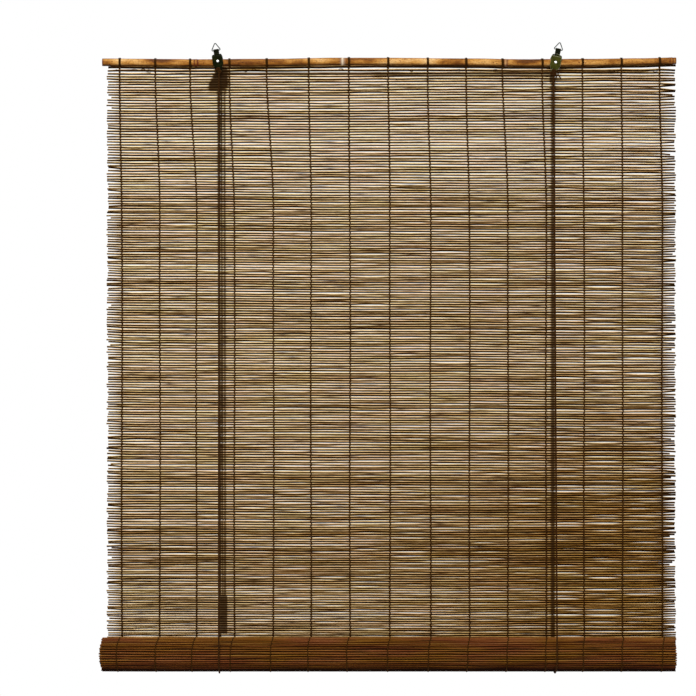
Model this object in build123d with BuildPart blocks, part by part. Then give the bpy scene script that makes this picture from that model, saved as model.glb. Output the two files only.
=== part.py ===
from build123d import *
import math
import os

os.makedirs("parts", exist_ok=True)

# Head pole and bottom rod, bamboo canes
pole_length = 909.2
pole_radius = 5.75
cane_node_rise = 0.4
cane_node_half_width = 1.6
pole_node_places = (-306.0, -73.0, 186.0, 446.0)
pith_radius = 2.2
pith_depth = 20.0

# Reed mat
mat_left = -446.5
mat_width = 900.0
mat_top = -9.0
reed_count = 237
mat_half_thickness = 1.0
web_thickness = 0.5
slot_height = 1.2
slot_margin = 6.0
open_rows_at_top = 4
open_row_step = 2

# Warp threads
warp_count = 15
left_fringe = 23.0
right_fringe = 21.2
warp_drift = -5.5
warp_drift_ends = -240.0
thread_width = 1.6
thread_thickness = 0.5
lashing_width = 2.6
lashing_thickness = 0.9
lashing_sides = 8

# Roll
roll_height = -935.0
roll_wall = 1.9
roll_turn_pitch = 2.76
roll_turns = 7.25
roll_reed_depth = 0.6
roll_reeds_on_outer_turn = 44
points_per_turn = 16
roll_step_turns = (1, 3, 5)
roll_left = -452.5
roll_right = 451.0
roll_end_step = 2.2
mat_to_roll_clearance = 0.3
rod_to_roll_clearance = 0.3

# Cords
cord_radius = 1.1
cord_sides = 8
wire_sides = 6
cord_to_roll_clearance = 0.5
cord_end_clearance = 0.3
sling_left_x = -267.8
sling_left_turn = 0.0
sling_right_x = 260.6
sling_right_turn = 3.5
eyelet_corner_radius = 2.2
knot_radius = 2.2
knot_length = 3.0
knot_edge = 0.7
knot_seat_clearance = 0.05

# Strap brackets
strap_thickness = 1.2
strap_to_pole_clearance = 0.55
plate_half_width = 8.2
plate_shoulder_half_width = 6.9
plate_shoulder_drop = 3.0
plate_foot_half_width = 5.6
neck_half_width = 4.3
neck_gap = 0.35
tongue_radius = 5.0
eyelet_radius = 1.6
ring_wire_radius = 0.7
ring_fold_clearance = 0.3
ring_base = 15.0
ring_rise = 12.6
ring_corner_radius = 1.4

# Left and right brackets: rivet place, lean in degrees, heights above the rivet
left_rivet_x = -271.5
left_rivet_z = 1.3
left_lean = 9.0
left_plate_top = 11.2
left_plate_foot = -10.2
left_ring_bar = 17.6
right_rivet_x = 263.4
right_rivet_z = -0.5
right_lean = -12.5
right_plate_top = 12.5
right_plate_foot = -11.6
right_ring_bar = 21.0
eyelet_below_foot = 3.8

# Rivets
rivet_radius = 1.5
rivet_clearance = 0.05
rivet_head_radius = 2.4
rivet_head_height = 1.3
rivet_rear_head_height = 0.8

# Pulley wheels, housings and axles
wheel_radius = 5.9
wheel_thickness = 3.2
wheel_bore_clearance = 0.05
wheel_side_clearance = 0.2
wheel_gap = 0.3
cord_wrap_radius = 5.0
groove_clearance = 0.25
groove_half_width = 1.3
axle_radius = 1.0
axle_head_radius = 1.8
axle_head_height = 0.6
housing_wall = 0.8
housing_roof_gap = 1.2
housing_hole_clearance = 0.02
left_wheel_x = -265.2
right_wheel_x = 253.7
wheel_z = -23.1
left_housing_drop = 11.6
right_housing_drop = 7.0
wheel_plate_radius = 6.8

# Cord lock
cam_pin_radius = 0.8
cam_pin_drop = 8.9
cam_pin_head_radius = 1.4
cam_pin_head_height = 0.5
cam_bore_clearance = 0.05
cam_hub_radius = 1.7
cam_lobe_reach = 3.5
cam_lobe_half_width = 1.0
cam_lobe_dip = 18.0
cam_side_clearance = 0.2
tab_clearance = 0.1

# Hank, pull cords and tassel
hank_front_clearance = 0.8
hank_depth = 8.0
hank_edge_round = 2.0
hank_top_left = (-283.0, -20.0)
hank_far_left = (-288.5, -32.0)
hank_low_left = (-283.0, -42.5)
hank_low_mid = (-266.0, -45.5)
hank_low_right = (-253.5, -42.0)
hank_far_right = (-252.0, -31.0)
hank_top_right = (-257.0, -24.0)
tail_bend_height = -38.6
tail_end_height = -41.0
tail_shift = 0.8
tail_end_clearance = 0.9
tail_radius = 3.0
pull_cord_1_top_x = -266.3
pull_cord_1_low_x = -263.4
pull_cord_2_top_x = -260.9
pull_cord_2_low_x = -260.1
tassel_top = -847.0
tassel_head_length = 13.0
tassel_length = 58.0
tassel_head_radius = 4.4
tassel_waist_radius = 3.4
tassel_skirt_radius = 5.0
tassel_sides = 12

# Values that follow from those above
mat_bottom = roll_height + mat_to_roll_clearance
reed_pitch = (mat_top - mat_bottom) / reed_count
warp_first = mat_left + left_fringe
warp_pitch = (mat_width - left_fringe - right_fringe) / (warp_count - 1)
mat_right = mat_left + mat_width
pull_cord_middle = (pull_cord_1_low_x + pull_cord_2_low_x) / 2
spiral_start = roll_turns * roll_turn_pitch + pole_radius + rod_to_roll_clearance + roll_wall / 2
roll_y = -spiral_start
roll_radius = spiral_start + roll_wall / 2
sling_radius = roll_radius + cord_to_roll_clearance + cord_radius
cheek_inner = pole_radius + strap_to_pole_clearance
cheek_outer = cheek_inner + strap_thickness
front_wing_back = cheek_outer + housing_wall
lift_plane = front_wing_back + wheel_side_clearance + wheel_thickness / 2
cross_plane = lift_plane + wheel_thickness + wheel_gap
left_rear_wing = cross_plane + wheel_thickness / 2 + wheel_side_clearance
right_rear_wing = lift_plane + wheel_thickness / 2 + wheel_side_clearance
hank_front = left_rear_wing + housing_wall + hank_front_clearance
hank_middle = hank_front + hank_depth / 2
fold_inner = ring_wire_radius + ring_fold_clearance
fold_outer = fold_inner + strap_thickness
cam_pin_z = wheel_z - cam_pin_drop


def corner_radius(radius, sides):
    # Corner radius of the regular polygon with the area of a circle
    return radius * math.sqrt(2 * math.pi / (sides * math.sin(2 * math.pi / sides)))


cord_corner_radius = corner_radius(cord_radius, cord_sides)
wire_corner_radius = corner_radius(ring_wire_radius, wire_sides)
flat_turn = 180 / cord_sides


def save(block, name):
    block.part.label = name
    export_step(block.part, "parts/" + name + ".step")


def upright(x, y, z):
    # A plane that faces the viewer, with its origin at the point
    return Plane(origin=(x, y, z), x_dir=(1, 0, 0), z_dir=(0, -1, 0))


def leaning(x, z, lean):
    # The bracket's front plane: its up direction leans to the left by lean degrees
    turn = math.radians(lean)
    return Plane(origin=(x, 0, z), x_dir=(math.cos(turn), 0, math.sin(turn)), z_dir=(0, -1, 0))


def leaning_side(x, z, lean):
    turn = math.radians(lean)
    side = (math.cos(turn), 0, math.sin(turn))
    return Plane(origin=(x, 0, z), x_dir=(0, 1, 0), z_dir=side)


def in_leaning(x, z, lean, across, up):
    place = leaning(x, z, lean).from_local_coords((across, up, 0))
    return (place.X, place.Y, place.Z)


def to_leaning(x, z, lean, at_x, at_z):
    place = leaning(x, z, lean).to_local_coords(Vector(at_x, 0, at_z))
    return (place.X, place.Y)


def cane_outline(left, right, radius, nodes):
    points = [(left, 0), (left, radius)]
    for place in nodes:
        points.append((place - cane_node_half_width, radius))
        points.append((place, radius + cane_node_rise))
        points.append((place + cane_node_half_width, radius))
    points.append((right, radius))
    points.append((right, 0))
    return points


# Head pole
with BuildPart() as head_pole:
    with BuildSketch():
        with BuildLine():
            Polyline(
                *cane_outline(-pole_length / 2, pole_length / 2, pole_radius, pole_node_places),
                close=True,
            )
        make_face()
    revolve(axis=Axis.X)
    with BuildSketch(Plane.YZ.offset(-pole_length / 2)):
        Circle(pith_radius)
    extrude(amount=pith_depth, mode=Mode.SUBTRACT)
    with BuildSketch(Plane.YZ.offset(pole_length / 2)):
        Circle(pith_radius)
    extrude(amount=-pith_depth, mode=Mode.SUBTRACT)
    with BuildSketch(upright(0, 0, 0)):
        with Locations((left_rivet_x, left_rivet_z), (right_rivet_x, right_rivet_z)):
            Circle(rivet_radius + rivet_clearance)
    extrude(amount=2 * pole_radius, both=True, mode=Mode.SUBTRACT)
save(head_pole, "head_pole")


# Bottom rod, the core of the roll
with BuildPart() as bottom_rod:
    with BuildSketch(Plane.YZ.offset(roll_left)):
        with Locations((roll_y, roll_height)):
            Circle(pole_radius)
    extrude(amount=roll_right - roll_left)
save(bottom_rod, "bottom_rod")


# Reed mat: ridged on both faces, with long open slots between some of the reeds
def mat_outline():
    front = []
    for reed in range(reed_count):
        front.append((-web_thickness / 2, mat_top - reed * reed_pitch))
        front.append((-mat_half_thickness, mat_top - (reed + 0.5) * reed_pitch))
    front.append((-web_thickness / 2, mat_bottom))
    back = [(-y, z) for y, z in reversed(front)]
    return front + back


def slot_places():
    rows = list(range(1, open_rows_at_top))
    rows += list(range(open_rows_at_top, reed_count - 1, open_row_step))
    middle = (mat_left + mat_right) / 2
    return [(middle, mat_top - row * reed_pitch) for row in rows]


with BuildPart() as reed_mat:
    with BuildSketch(Plane.YZ.offset(mat_left)):
        with BuildLine():
            Polyline(*mat_outline(), close=True)
        make_face()
    extrude(amount=mat_width)
    with BuildSketch(upright(0, 0, 0)):
        with Locations(*slot_places()):
            Rectangle(mat_width - 2 * slot_margin, slot_height)
    extrude(amount=mat_half_thickness, both=True, mode=Mode.SUBTRACT)
save(reed_mat, "reed_mat")


# Warp threads: each is tied round the pole and runs down over the reeds
def thread_outline(x):
    half = thread_width / 2
    top = -pole_radius - lashing_thickness / 2
    return [
        (x + warp_drift - half, top),
        (x + warp_drift + half, top),
        (x + half, warp_drift_ends),
        (x + half, mat_bottom),
        (x - half, mat_bottom),
        (x - half, warp_drift_ends),
    ]


def warp_thread(number):
    x = warp_first + number * warp_pitch
    flat_to_corner = 1 / math.cos(math.pi / lashing_sides)
    flats_level = 180 / lashing_sides
    inner = (pole_radius + cane_node_rise) * flat_to_corner
    with BuildPart() as warp:
        with BuildSketch(Plane.YZ.offset(x + warp_drift - lashing_width / 2)):
            RegularPolygon(inner + lashing_thickness, lashing_sides, rotation=flats_level)
            RegularPolygon(inner, lashing_sides, rotation=flats_level, mode=Mode.SUBTRACT)
        extrude(amount=lashing_width)
        with BuildSketch(upright(0, -mat_half_thickness, 0)):
            with BuildLine():
                Polyline(*thread_outline(x), close=True)
            make_face()
        extrude(amount=thread_thickness)
    save(warp, "warp_thread_" + str(number + 1).zfill(2))


for number in range(warp_count):
    warp_thread(number)


# Roll: one wound wall, its outer turn ridged, its inner turns standing out at the ends
def spiral_point(turns, offset):
    radius = spiral_start - roll_turn_pitch * turns + offset
    angle = 2 * math.pi * turns
    return (roll_y + radius * math.cos(angle), roll_height - radius * math.sin(angle))


def ridged_turn():
    points = []
    for reed in range(roll_reeds_on_outer_turn):
        groove = reed / roll_reeds_on_outer_turn
        crest = (reed + 0.5) / roll_reeds_on_outer_turn
        points.append(spiral_point(groove, roll_wall / 2 - roll_reed_depth))
        points.append(spiral_point(crest, roll_wall / 2))
    points.append(spiral_point(1, roll_wall / 2 - roll_reed_depth))
    return points


def plain_turns(first, last, offset):
    count = math.ceil((last - first) * points_per_turn)
    step = (last - first) / count
    return [spiral_point(first + k * step, offset) for k in range(count + 1)]


roll_parts = (0, *roll_step_turns, roll_turns)
with BuildPart() as reed_roll:
    for k in range(len(roll_parts) - 1):
        first = roll_parts[k]
        last = roll_parts[k + 1]
        outer = ridged_turn() if first == 0 else plain_turns(first, last, roll_wall / 2 - roll_reed_depth)
        inner = plain_turns(first, last, -roll_wall / 2)
        left = roll_left - k * roll_end_step * 0.7
        right = roll_right - (k % 2) * roll_end_step
        with BuildSketch(Plane.YZ.offset(left)):
            with BuildLine():
                Polyline(*(outer + inner[::-1]), close=True)
            make_face()
        extrude(amount=right - left)
save(reed_roll, "reed_roll")


# Strap brackets: one strip folded over the ring's bar, with the pole between its cheeks
def strap_profile(ring_bar, plate_top, low):
    shoulder = plate_top - plate_shoulder_drop
    neck_out = neck_gap + strap_thickness
    return [
        (-cheek_outer, low),
        (-cheek_outer, shoulder),
        (-fold_outer, plate_top + strap_thickness),
        (-fold_outer, ring_bar),
        (-fold_inner, ring_bar),
        (-fold_inner, plate_top + strap_thickness / 2),
        (-cheek_inner, shoulder - strap_thickness / 2),
        (-cheek_inner, low),
    ]


def front_outline(plate_top, plate_foot, ring_bar):
    high = ring_bar + fold_outer
    side = [
        (neck_half_width, high),
        (neck_half_width, plate_top),
        (plate_shoulder_half_width, plate_top),
        (plate_half_width, plate_top - plate_shoulder_drop),
        (plate_half_width, plate_foot / 2),
        (plate_foot_half_width, plate_foot),
    ]
    return side + [(-x, z) for x, z in reversed(side)]


def rear_outline(plate_top, plate_foot, ring_bar, wheel):
    high = ring_bar + fold_outer
    near = plate_foot / 2
    return [
        (-neck_half_width, high),
        (neck_half_width, high),
        (neck_half_width, plate_top),
        (plate_shoulder_half_width, plate_top),
        (plate_half_width, plate_top - plate_shoulder_drop),
        (max(plate_half_width, wheel[0] + wheel_plate_radius), near),
        (wheel[0] + wheel_plate_radius, wheel[1]),
        (wheel[0] - wheel_plate_radius, wheel[1]),
        (min(-plate_half_width, wheel[0] - wheel_plate_radius), near),
        (-plate_half_width, plate_top - plate_shoulder_drop),
        (-plate_shoulder_half_width, plate_top),
        (-neck_half_width, plate_top),
    ]


def strap_bracket(name, x, z, lean, plate_top, plate_foot, ring_bar, wheel_x):
    wheel = to_leaning(x, z, lean, wheel_x, wheel_z)
    low = wheel[1] - wheel_plate_radius
    tongue = plate_foot - eyelet_below_foot
    with BuildPart() as outline:
        with BuildSketch(leaning(x, z, lean)):
            with BuildLine():
                Polyline(*front_outline(plate_top, plate_foot, ring_bar), close=True)
            make_face()
            with Locations((0, tongue)):
                Circle(tongue_radius)
        extrude(amount=2 * cheek_outer)
        with BuildSketch(leaning(x, z, lean)):
            with BuildLine():
                Polyline(*rear_outline(plate_top, plate_foot, ring_bar, wheel), close=True)
            make_face()
            with Locations(wheel):
                Circle(wheel_plate_radius)
        extrude(amount=-2 * cheek_outer)
    with BuildPart() as strap:
        with BuildSketch(leaning_side(x, z, lean)):
            with BuildLine():
                Polyline(*strap_profile(ring_bar, plate_top, low), close=True)
            make_face()
            mirror(about=Plane.YZ)
            with Locations((0, ring_bar)):
                Circle(fold_outer)
                Circle(fold_inner, mode=Mode.SUBTRACT)
            with Locations((0, ring_bar - fold_outer / 2)):
                Rectangle(2 * fold_inner, fold_outer, mode=Mode.SUBTRACT)
        extrude(amount=4 * plate_half_width, both=True)
        add(outline.part, mode=Mode.INTERSECT)
        with BuildSketch(leaning(x, z, lean)):
            Circle(rivet_radius + rivet_clearance)
        extrude(amount=2 * cheek_outer, both=True, mode=Mode.SUBTRACT)
        with BuildSketch(leaning(x, z, lean)):
            with Locations((0, tongue)):
                Circle(eyelet_radius)
        extrude(amount=2 * cheek_outer, mode=Mode.SUBTRACT)
        with BuildSketch(leaning(x, z, lean)):
            with Locations(wheel):
                Circle(axle_radius + housing_hole_clearance)
        extrude(amount=-2 * cheek_outer, mode=Mode.SUBTRACT)
    save(strap, name)


strap_bracket(
    "bracket_left",
    left_rivet_x,
    left_rivet_z,
    left_lean,
    left_plate_top,
    left_plate_foot,
    left_ring_bar,
    left_wheel_x,
)
strap_bracket(
    "bracket_right",
    right_rivet_x,
    right_rivet_z,
    right_lean,
    right_plate_top,
    right_plate_foot,
    right_ring_bar,
    right_wheel_x,
)


# Hanging rings: triangles of wire, the lower bar in the strap's fold
def hanging_ring(name, x, z, lean, ring_bar):
    with BuildPart() as ring:
        with BuildLine(leaning(x, z, lean)) as triangle:
            FilletPolyline(
                (ring_base / 2, ring_bar),
                (0, ring_bar + ring_rise),
                (-ring_base / 2, ring_bar),
                radius=ring_corner_radius,
                close=True,
            )
        with BuildSketch(Plane(triangle.wire() @ 0, z_dir=triangle.wire() % 0)):
            RegularPolygon(wire_corner_radius, wire_sides)
        sweep(path=triangle.wire())
    save(ring, name)


hanging_ring("ring_left", left_rivet_x, left_rivet_z, left_lean, left_ring_bar)
hanging_ring("ring_right", right_rivet_x, right_rivet_z, right_lean, right_ring_bar)


# Rivets through both cheeks and the pole, with a domed front head and a flat rear one
def rivet(name, x, z):
    front_head_end = cheek_outer + rivet_head_height
    rear_head_end = cheek_outer + rivet_rear_head_height
    with BuildPart() as pin:
        with BuildSketch(Plane(origin=(x, 0, z), x_dir=(0, 1, 0), z_dir=(1, 0, 0))):
            with BuildLine():
                Polyline(
                    (-front_head_end, 0),
                    (-front_head_end, rivet_head_radius / 2),
                    (-cheek_outer, rivet_head_radius),
                    (-cheek_outer, rivet_radius),
                    (cheek_outer, rivet_radius),
                    (cheek_outer, rivet_head_radius),
                    (rear_head_end, rivet_head_radius),
                    (rear_head_end, 0),
                    close=True,
                )
            make_face()
        revolve(axis=Axis(origin=(x, 0, z), direction=(0, 1, 0)))
    save(pin, name)


rivet("rivet_left", left_rivet_x, left_rivet_z)
rivet("rivet_right", right_rivet_x, right_rivet_z)


# Pulley housings: a channel over the wheels, open below and at the sides
def pulley_housing(name, wheel_x, rear_wing, drop, locked):
    half = cord_wrap_radius + cord_radius + tab_clearance + housing_wall
    roof = wheel_z + wheel_radius + housing_roof_gap
    low = wheel_z - drop
    depth = rear_wing + housing_wall - cheek_outer
    with BuildPart() as housing:
        with BuildSketch(upright(wheel_x, cheek_outer, 0)):
            with Locations((0, (roof + low) / 2)):
                Rectangle(2 * half, roof - low)
        extrude(amount=-depth)
        with BuildSketch(upright(wheel_x, front_wing_back, 0)):
            with Locations((0, (roof + low) / 2 - housing_wall)):
                Rectangle(4 * half, roof - low)
        extrude(amount=front_wing_back - rear_wing, mode=Mode.SUBTRACT)
        if locked:
            with BuildSketch(upright(wheel_x, front_wing_back, 0)):
                with Locations(
                    (-half + housing_wall / 2, cam_pin_z),
                    (half - housing_wall / 2, cam_pin_z),
                ):
                    Rectangle(housing_wall, 2 * (cam_pin_z - low))
            extrude(amount=front_wing_back - rear_wing)
            with BuildSketch(upright(wheel_x, 0, 0)):
                with Locations((0, cam_pin_z)):
                    Circle(cam_pin_radius + housing_hole_clearance)
            extrude(amount=-2 * depth - cheek_outer, mode=Mode.SUBTRACT)
        with BuildSketch(upright(wheel_x, 0, 0)):
            with Locations((0, wheel_z)):
                Circle(axle_radius + housing_hole_clearance)
        extrude(amount=-2 * depth - cheek_outer, mode=Mode.SUBTRACT)
    save(housing, name)


pulley_housing("pulley_housing_left", left_wheel_x, left_rear_wing, left_housing_drop, True)
pulley_housing("pulley_housing_right", right_wheel_x, right_rear_wing, right_housing_drop, False)


# A headed pin along Y from one outer face to the other
def headed_pin(name, x, z, near, far, radius, head_radius, head_height):
    with BuildPart() as pin:
        with BuildSketch(upright(x, near - head_height, z)):
            Circle(head_radius)
        extrude(amount=-head_height)
        with BuildSketch(upright(x, near, z)):
            Circle(radius)
        extrude(amount=near - far)
        with BuildSketch(upright(x, far, z)):
            Circle(head_radius)
        extrude(amount=-head_height)
    save(pin, name)


headed_pin(
    "axle_left",
    left_wheel_x,
    wheel_z,
    cheek_inner,
    left_rear_wing + housing_wall,
    axle_radius,
    axle_head_radius,
    axle_head_height,
)
headed_pin(
    "axle_right",
    right_wheel_x,
    wheel_z,
    cheek_inner,
    right_rear_wing + housing_wall,
    axle_radius,
    axle_head_radius,
    axle_head_height,
)
headed_pin(
    "lock_pin",
    left_wheel_x,
    cam_pin_z,
    cheek_outer,
    left_rear_wing + housing_wall,
    cam_pin_radius,
    cam_pin_head_radius,
    cam_pin_head_height,
)


# Pulley wheels with a square groove
def pulley_wheel(name, x, plane_y):
    bore = axle_radius + wheel_bore_clearance
    half = wheel_thickness / 2
    floor = cord_wrap_radius - cord_radius - groove_clearance
    with BuildPart() as wheel:
        with BuildSketch(Plane(origin=(x, plane_y, wheel_z), x_dir=(0, 1, 0), z_dir=(1, 0, 0))):
            with BuildLine():
                Polyline(
                    (-half, bore),
                    (-half, wheel_radius),
                    (-groove_half_width, wheel_radius),
                    (-groove_half_width, floor),
                    (groove_half_width, floor),
                    (groove_half_width, wheel_radius),
                    (half, wheel_radius),
                    (half, bore),
                    close=True,
                )
            make_face()
        revolve(axis=Axis(origin=(x, 0, wheel_z), direction=(0, 1, 0)))
    save(wheel, name)


pulley_wheel("wheel_left_lift", left_wheel_x, lift_plane)
pulley_wheel("wheel_left_cross", left_wheel_x, cross_plane)
pulley_wheel("wheel_right", right_wheel_x, lift_plane)


# Cams of the cord lock, one in each wheel's plane
def lock_cam(name, plane_y, side):
    half = wheel_thickness / 2 - cam_side_clearance
    dip = math.radians(cam_lobe_dip)
    out = (side * math.cos(dip), -math.sin(dip))
    across = (math.sin(dip) * side, math.cos(dip))
    root = (out[0] * 0.4, out[1] * 0.4)
    tip = (out[0] * cam_lobe_reach, out[1] * cam_lobe_reach)
    with BuildPart() as cam:
        with BuildSketch(upright(left_wheel_x, plane_y - half, cam_pin_z)):
            Circle(cam_hub_radius)
            with BuildLine():
                Polyline(
                    (root[0] + across[0] * cam_hub_radius, root[1] + across[1] * cam_hub_radius),
                    (tip[0] + across[0] * cam_lobe_half_width, tip[1] + across[1] * cam_lobe_half_width),
                    (tip[0] - across[0] * cam_lobe_half_width, tip[1] - across[1] * cam_lobe_half_width),
                    (root[0] - across[0] * cam_hub_radius, root[1] - across[1] * cam_hub_radius),
                    close=True,
                )
            make_face()
            Circle(cam_pin_radius + cam_bore_clearance, mode=Mode.SUBTRACT)
        extrude(amount=-2 * half)
    save(cam, name)


lock_cam("lock_cam_lift", lift_plane, 1)
lock_cam("lock_cam_cross", cross_plane, -1)


# Lift cords
def eyelet_place(x, z, lean, plate_foot):
    return in_leaning(x, z, lean, 0, plate_foot - eyelet_below_foot)


def tangent_angle(y, z, side):
    # Angle, from +Y towards +Z, where a cord from the point meets the sling's circle
    along = y - roll_y
    up = z - roll_height
    spread = math.degrees(math.acos(sling_radius / math.hypot(along, up)))
    return math.degrees(math.atan2(up, along)) + side * spread


def sling_plane(x, turn):
    # The loop's plane, turned about the vertical through the roll's middle
    lean = math.radians(turn)
    origin = (x, roll_y, roll_height)
    return Plane(origin=origin, x_dir=(-math.sin(lean), math.cos(lean), 0), z_dir=(math.cos(lean), math.sin(lean), 0))


def on_sling(place, angle):
    turn = math.radians(angle)
    point = place.from_local_coords((sling_radius * math.cos(turn), sling_radius * math.sin(turn), 0))
    return (point.X, point.Y, point.Z)


front_run_y = -cheek_outer - cord_radius - cord_to_roll_clearance
trim = math.degrees(cord_end_clearance / sling_radius)
cord_section = math.pi * cord_radius**2


def report_cord(name, block, length, radii):
    share = block.part.volume / (cord_section * length)
    print(name, "length", round(length, 1), "volume share", round(share, 4), "radii", radii)


def front_strand(name, eyelet, place):
    angle = tangent_angle(front_run_y, eyelet[2], 1)
    knot_front = -cheek_inner + knot_seat_clearance
    start = (eyelet[0], knot_front + knot_length / 2, eyelet[2])
    with BuildPart() as strand:
        with BuildLine() as route:
            FilletPolyline(
                start,
                (eyelet[0], front_run_y, eyelet[2]),
                on_sling(place, angle),
                radius=eyelet_corner_radius,
            )
        with BuildSketch(upright(*start)):
            RegularPolygon(cord_corner_radius, cord_sides, rotation=flat_turn)
        sweep(path=route.wire())
        report_cord(name, strand, route.wire().length, [eyelet_corner_radius])
    with BuildPart() as knot:
        with BuildSketch(upright(eyelet[0], knot_front, eyelet[2])):
            RegularPolygon(knot_radius, cord_sides, rotation=flat_turn)
        extrude(amount=-knot_length)
        chamfer(knot.faces().sort_by(Axis.Y)[0].edges(), length=knot_edge)
        chamfer(knot.faces().sort_by(Axis.Y)[-1].edges(), length=knot_edge)
    with BuildPart() as knotted:
        add(strand.part)
        add(knot.part)
    save(knotted, name)
    return angle


def sling(name, place, front_angle, back_angle):
    first = back_angle - trim
    size = front_angle - 360 - back_angle + 2 * trim
    with BuildPart() as loop:
        with BuildLine(place) as route:
            CenterArc((0, 0), sling_radius, first, size)
        with BuildSketch(Plane(route.wire() @ 0, z_dir=route.wire() % 0)):
            RegularPolygon(cord_corner_radius, cord_sides, rotation=flat_turn)
        sweep(path=route.wire())
    report_cord(name, loop, route.wire().length, [round(sling_radius, 2)])
    save(loop, name)


def back_strand(name, place, top, back_angle):
    with BuildPart() as strand:
        with BuildLine() as route:
            Line(on_sling(place, back_angle), (top[0], top[1], top[2] - cord_end_clearance))
        with BuildSketch(Plane(route.wire() @ 0, z_dir=route.wire() % 0)):
            RegularPolygon(cord_corner_radius, cord_sides, rotation=flat_turn)
        sweep(path=route.wire())
    report_cord(name, strand, route.wire().length, [])
    save(strand, name)


left_eyelet = eyelet_place(left_rivet_x, left_rivet_z, left_lean, left_plate_foot)
right_eyelet = eyelet_place(right_rivet_x, right_rivet_z, right_lean, right_plate_foot)
left_back_top = (left_wheel_x - cord_wrap_radius, lift_plane, wheel_z)
right_back_top = (right_wheel_x + cord_wrap_radius, lift_plane, wheel_z)
left_sling_plane = sling_plane(sling_left_x, sling_left_turn)
right_sling_plane = sling_plane(sling_right_x, sling_right_turn)
left_front_angle = front_strand("lift_cord_left_front", left_eyelet, left_sling_plane)
right_front_angle = front_strand("lift_cord_right_front", right_eyelet, right_sling_plane)
back_angle = tangent_angle(lift_plane, wheel_z, -1)
sling("sling_left", left_sling_plane, left_front_angle, back_angle)
sling("sling_right", right_sling_plane, right_front_angle, back_angle)
back_strand("lift_cord_left_back", left_sling_plane, left_back_top, back_angle)
back_strand("lift_cord_right_back", right_sling_plane, right_back_top, back_angle)

# Left lift cord over its wheel, down through the lock and back into the hank
tail_y = hank_front - tail_end_clearance
lift_side_x = left_wheel_x + cord_wrap_radius
with BuildPart() as lift_cord_left_end:
    with BuildLine() as over_route:
        ThreePointArc(
            left_back_top,
            (left_wheel_x, lift_plane, wheel_z + cord_wrap_radius),
            (lift_side_x, lift_plane, wheel_z),
        )
        FilletPolyline(
            (lift_side_x, lift_plane, wheel_z),
            (lift_side_x, lift_plane, tail_bend_height),
            (lift_side_x - tail_shift, tail_y, tail_end_height),
            radius=tail_radius,
        )
    with BuildSketch(Plane.XY.offset(wheel_z)):
        with Locations((left_back_top[0], lift_plane)):
            RegularPolygon(cord_corner_radius, cord_sides, rotation=flat_turn)
    sweep(path=over_route.wire())
report_cord(
    "lift_cord_left_end",
    lift_cord_left_end,
    over_route.wire().length,
    [cord_wrap_radius, tail_radius],
)
save(lift_cord_left_end, "lift_cord_left_end")

# Right lift cord over its wheel, across behind the mat, over the left wheel and down
cross_side_x = left_wheel_x - cord_wrap_radius
with BuildPart() as cross_cord:
    with BuildLine() as cross_route:
        FilletPolyline(
            (right_back_top[0], lift_plane, wheel_z),
            (right_back_top[0], lift_plane, wheel_z + cord_wrap_radius),
            (cross_side_x, cross_plane, wheel_z + cord_wrap_radius),
            (cross_side_x, cross_plane, tail_bend_height),
            (cross_side_x - tail_shift, tail_y, tail_end_height),
            radius=[cord_wrap_radius * 0.98, cord_wrap_radius, tail_radius / 2],
        )
    with BuildSketch(Plane.XY.offset(wheel_z)):
        with Locations((right_back_top[0], lift_plane)):
            RegularPolygon(cord_corner_radius, cord_sides, rotation=flat_turn)
    sweep(path=cross_route.wire())
report_cord(
    "cross_cord",
    cross_cord,
    cross_route.wire().length,
    [cord_wrap_radius, cord_wrap_radius, tail_radius / 2],
)
save(cross_cord, "cross_cord")


# Hank of tied up pull cord, behind the left housing
with BuildPart() as cord_hank:
    with BuildSketch(upright(0, hank_front, 0)):
        with BuildLine():
            Polyline(
                hank_top_left,
                hank_far_left,
                hank_low_left,
                hank_low_mid,
                hank_low_right,
                hank_far_right,
                hank_top_right,
                close=True,
            )
        make_face()
    extrude(amount=-hank_depth)
    chamfer(cord_hank.faces().sort_by(Axis.Y)[0].edges(), length=hank_edge_round)
    chamfer(cord_hank.faces().sort_by(Axis.Y)[-1].edges(), length=hank_edge_round)
save(cord_hank, "cord_hank")


# Pull cords down to the tassel, held straight by its weight
def hank_underside(x):
    left, right = (hank_low_left, hank_low_mid) if x <= hank_low_mid[0] else (hank_low_mid, hank_low_right)
    share = (x - left[0]) / (right[0] - left[0])
    return left[1] + share * (right[1] - left[1])


def pull_cord(name, top_x, low_x):
    top = hank_underside(top_x) - cord_end_clearance
    with BuildPart() as cord:
        with BuildLine() as route:
            Line((low_x, hank_middle, tassel_top), (top_x, hank_middle, top))
        with BuildSketch(Plane(route.wire() @ 0, z_dir=route.wire() % 0)):
            RegularPolygon(cord_corner_radius, cord_sides, rotation=flat_turn)
        sweep(path=route.wire())
        split(bisect_by=Plane.XY.offset(tassel_top), keep=Keep.TOP)
    report_cord(name, cord, route.wire().length, [])
    save(cord, name)


pull_cord("pull_cord_1", pull_cord_1_top_x, pull_cord_1_low_x)
pull_cord("pull_cord_2", pull_cord_2_top_x, pull_cord_2_low_x)


# Tassel: a bound head and a skirt, both many-sided and tapered
def tassel_piece(name, sections):
    flat_share = math.cos(math.pi / tassel_sides)
    with BuildPart() as piece:
        for upper, lower in zip(sections, sections[1:]):
            length = lower[0] - upper[0]
            narrowing = (upper[1] - lower[1]) * flat_share
            start = (pull_cord_middle, hank_middle, tassel_top - upper[0])
            with BuildSketch(Plane(origin=start, x_dir=(1, 0, 0), z_dir=(0, 0, -1))):
                RegularPolygon(upper[1], tassel_sides)
            extrude(amount=length, taper=math.degrees(math.atan(narrowing / length)))
    save(piece, name)


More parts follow.
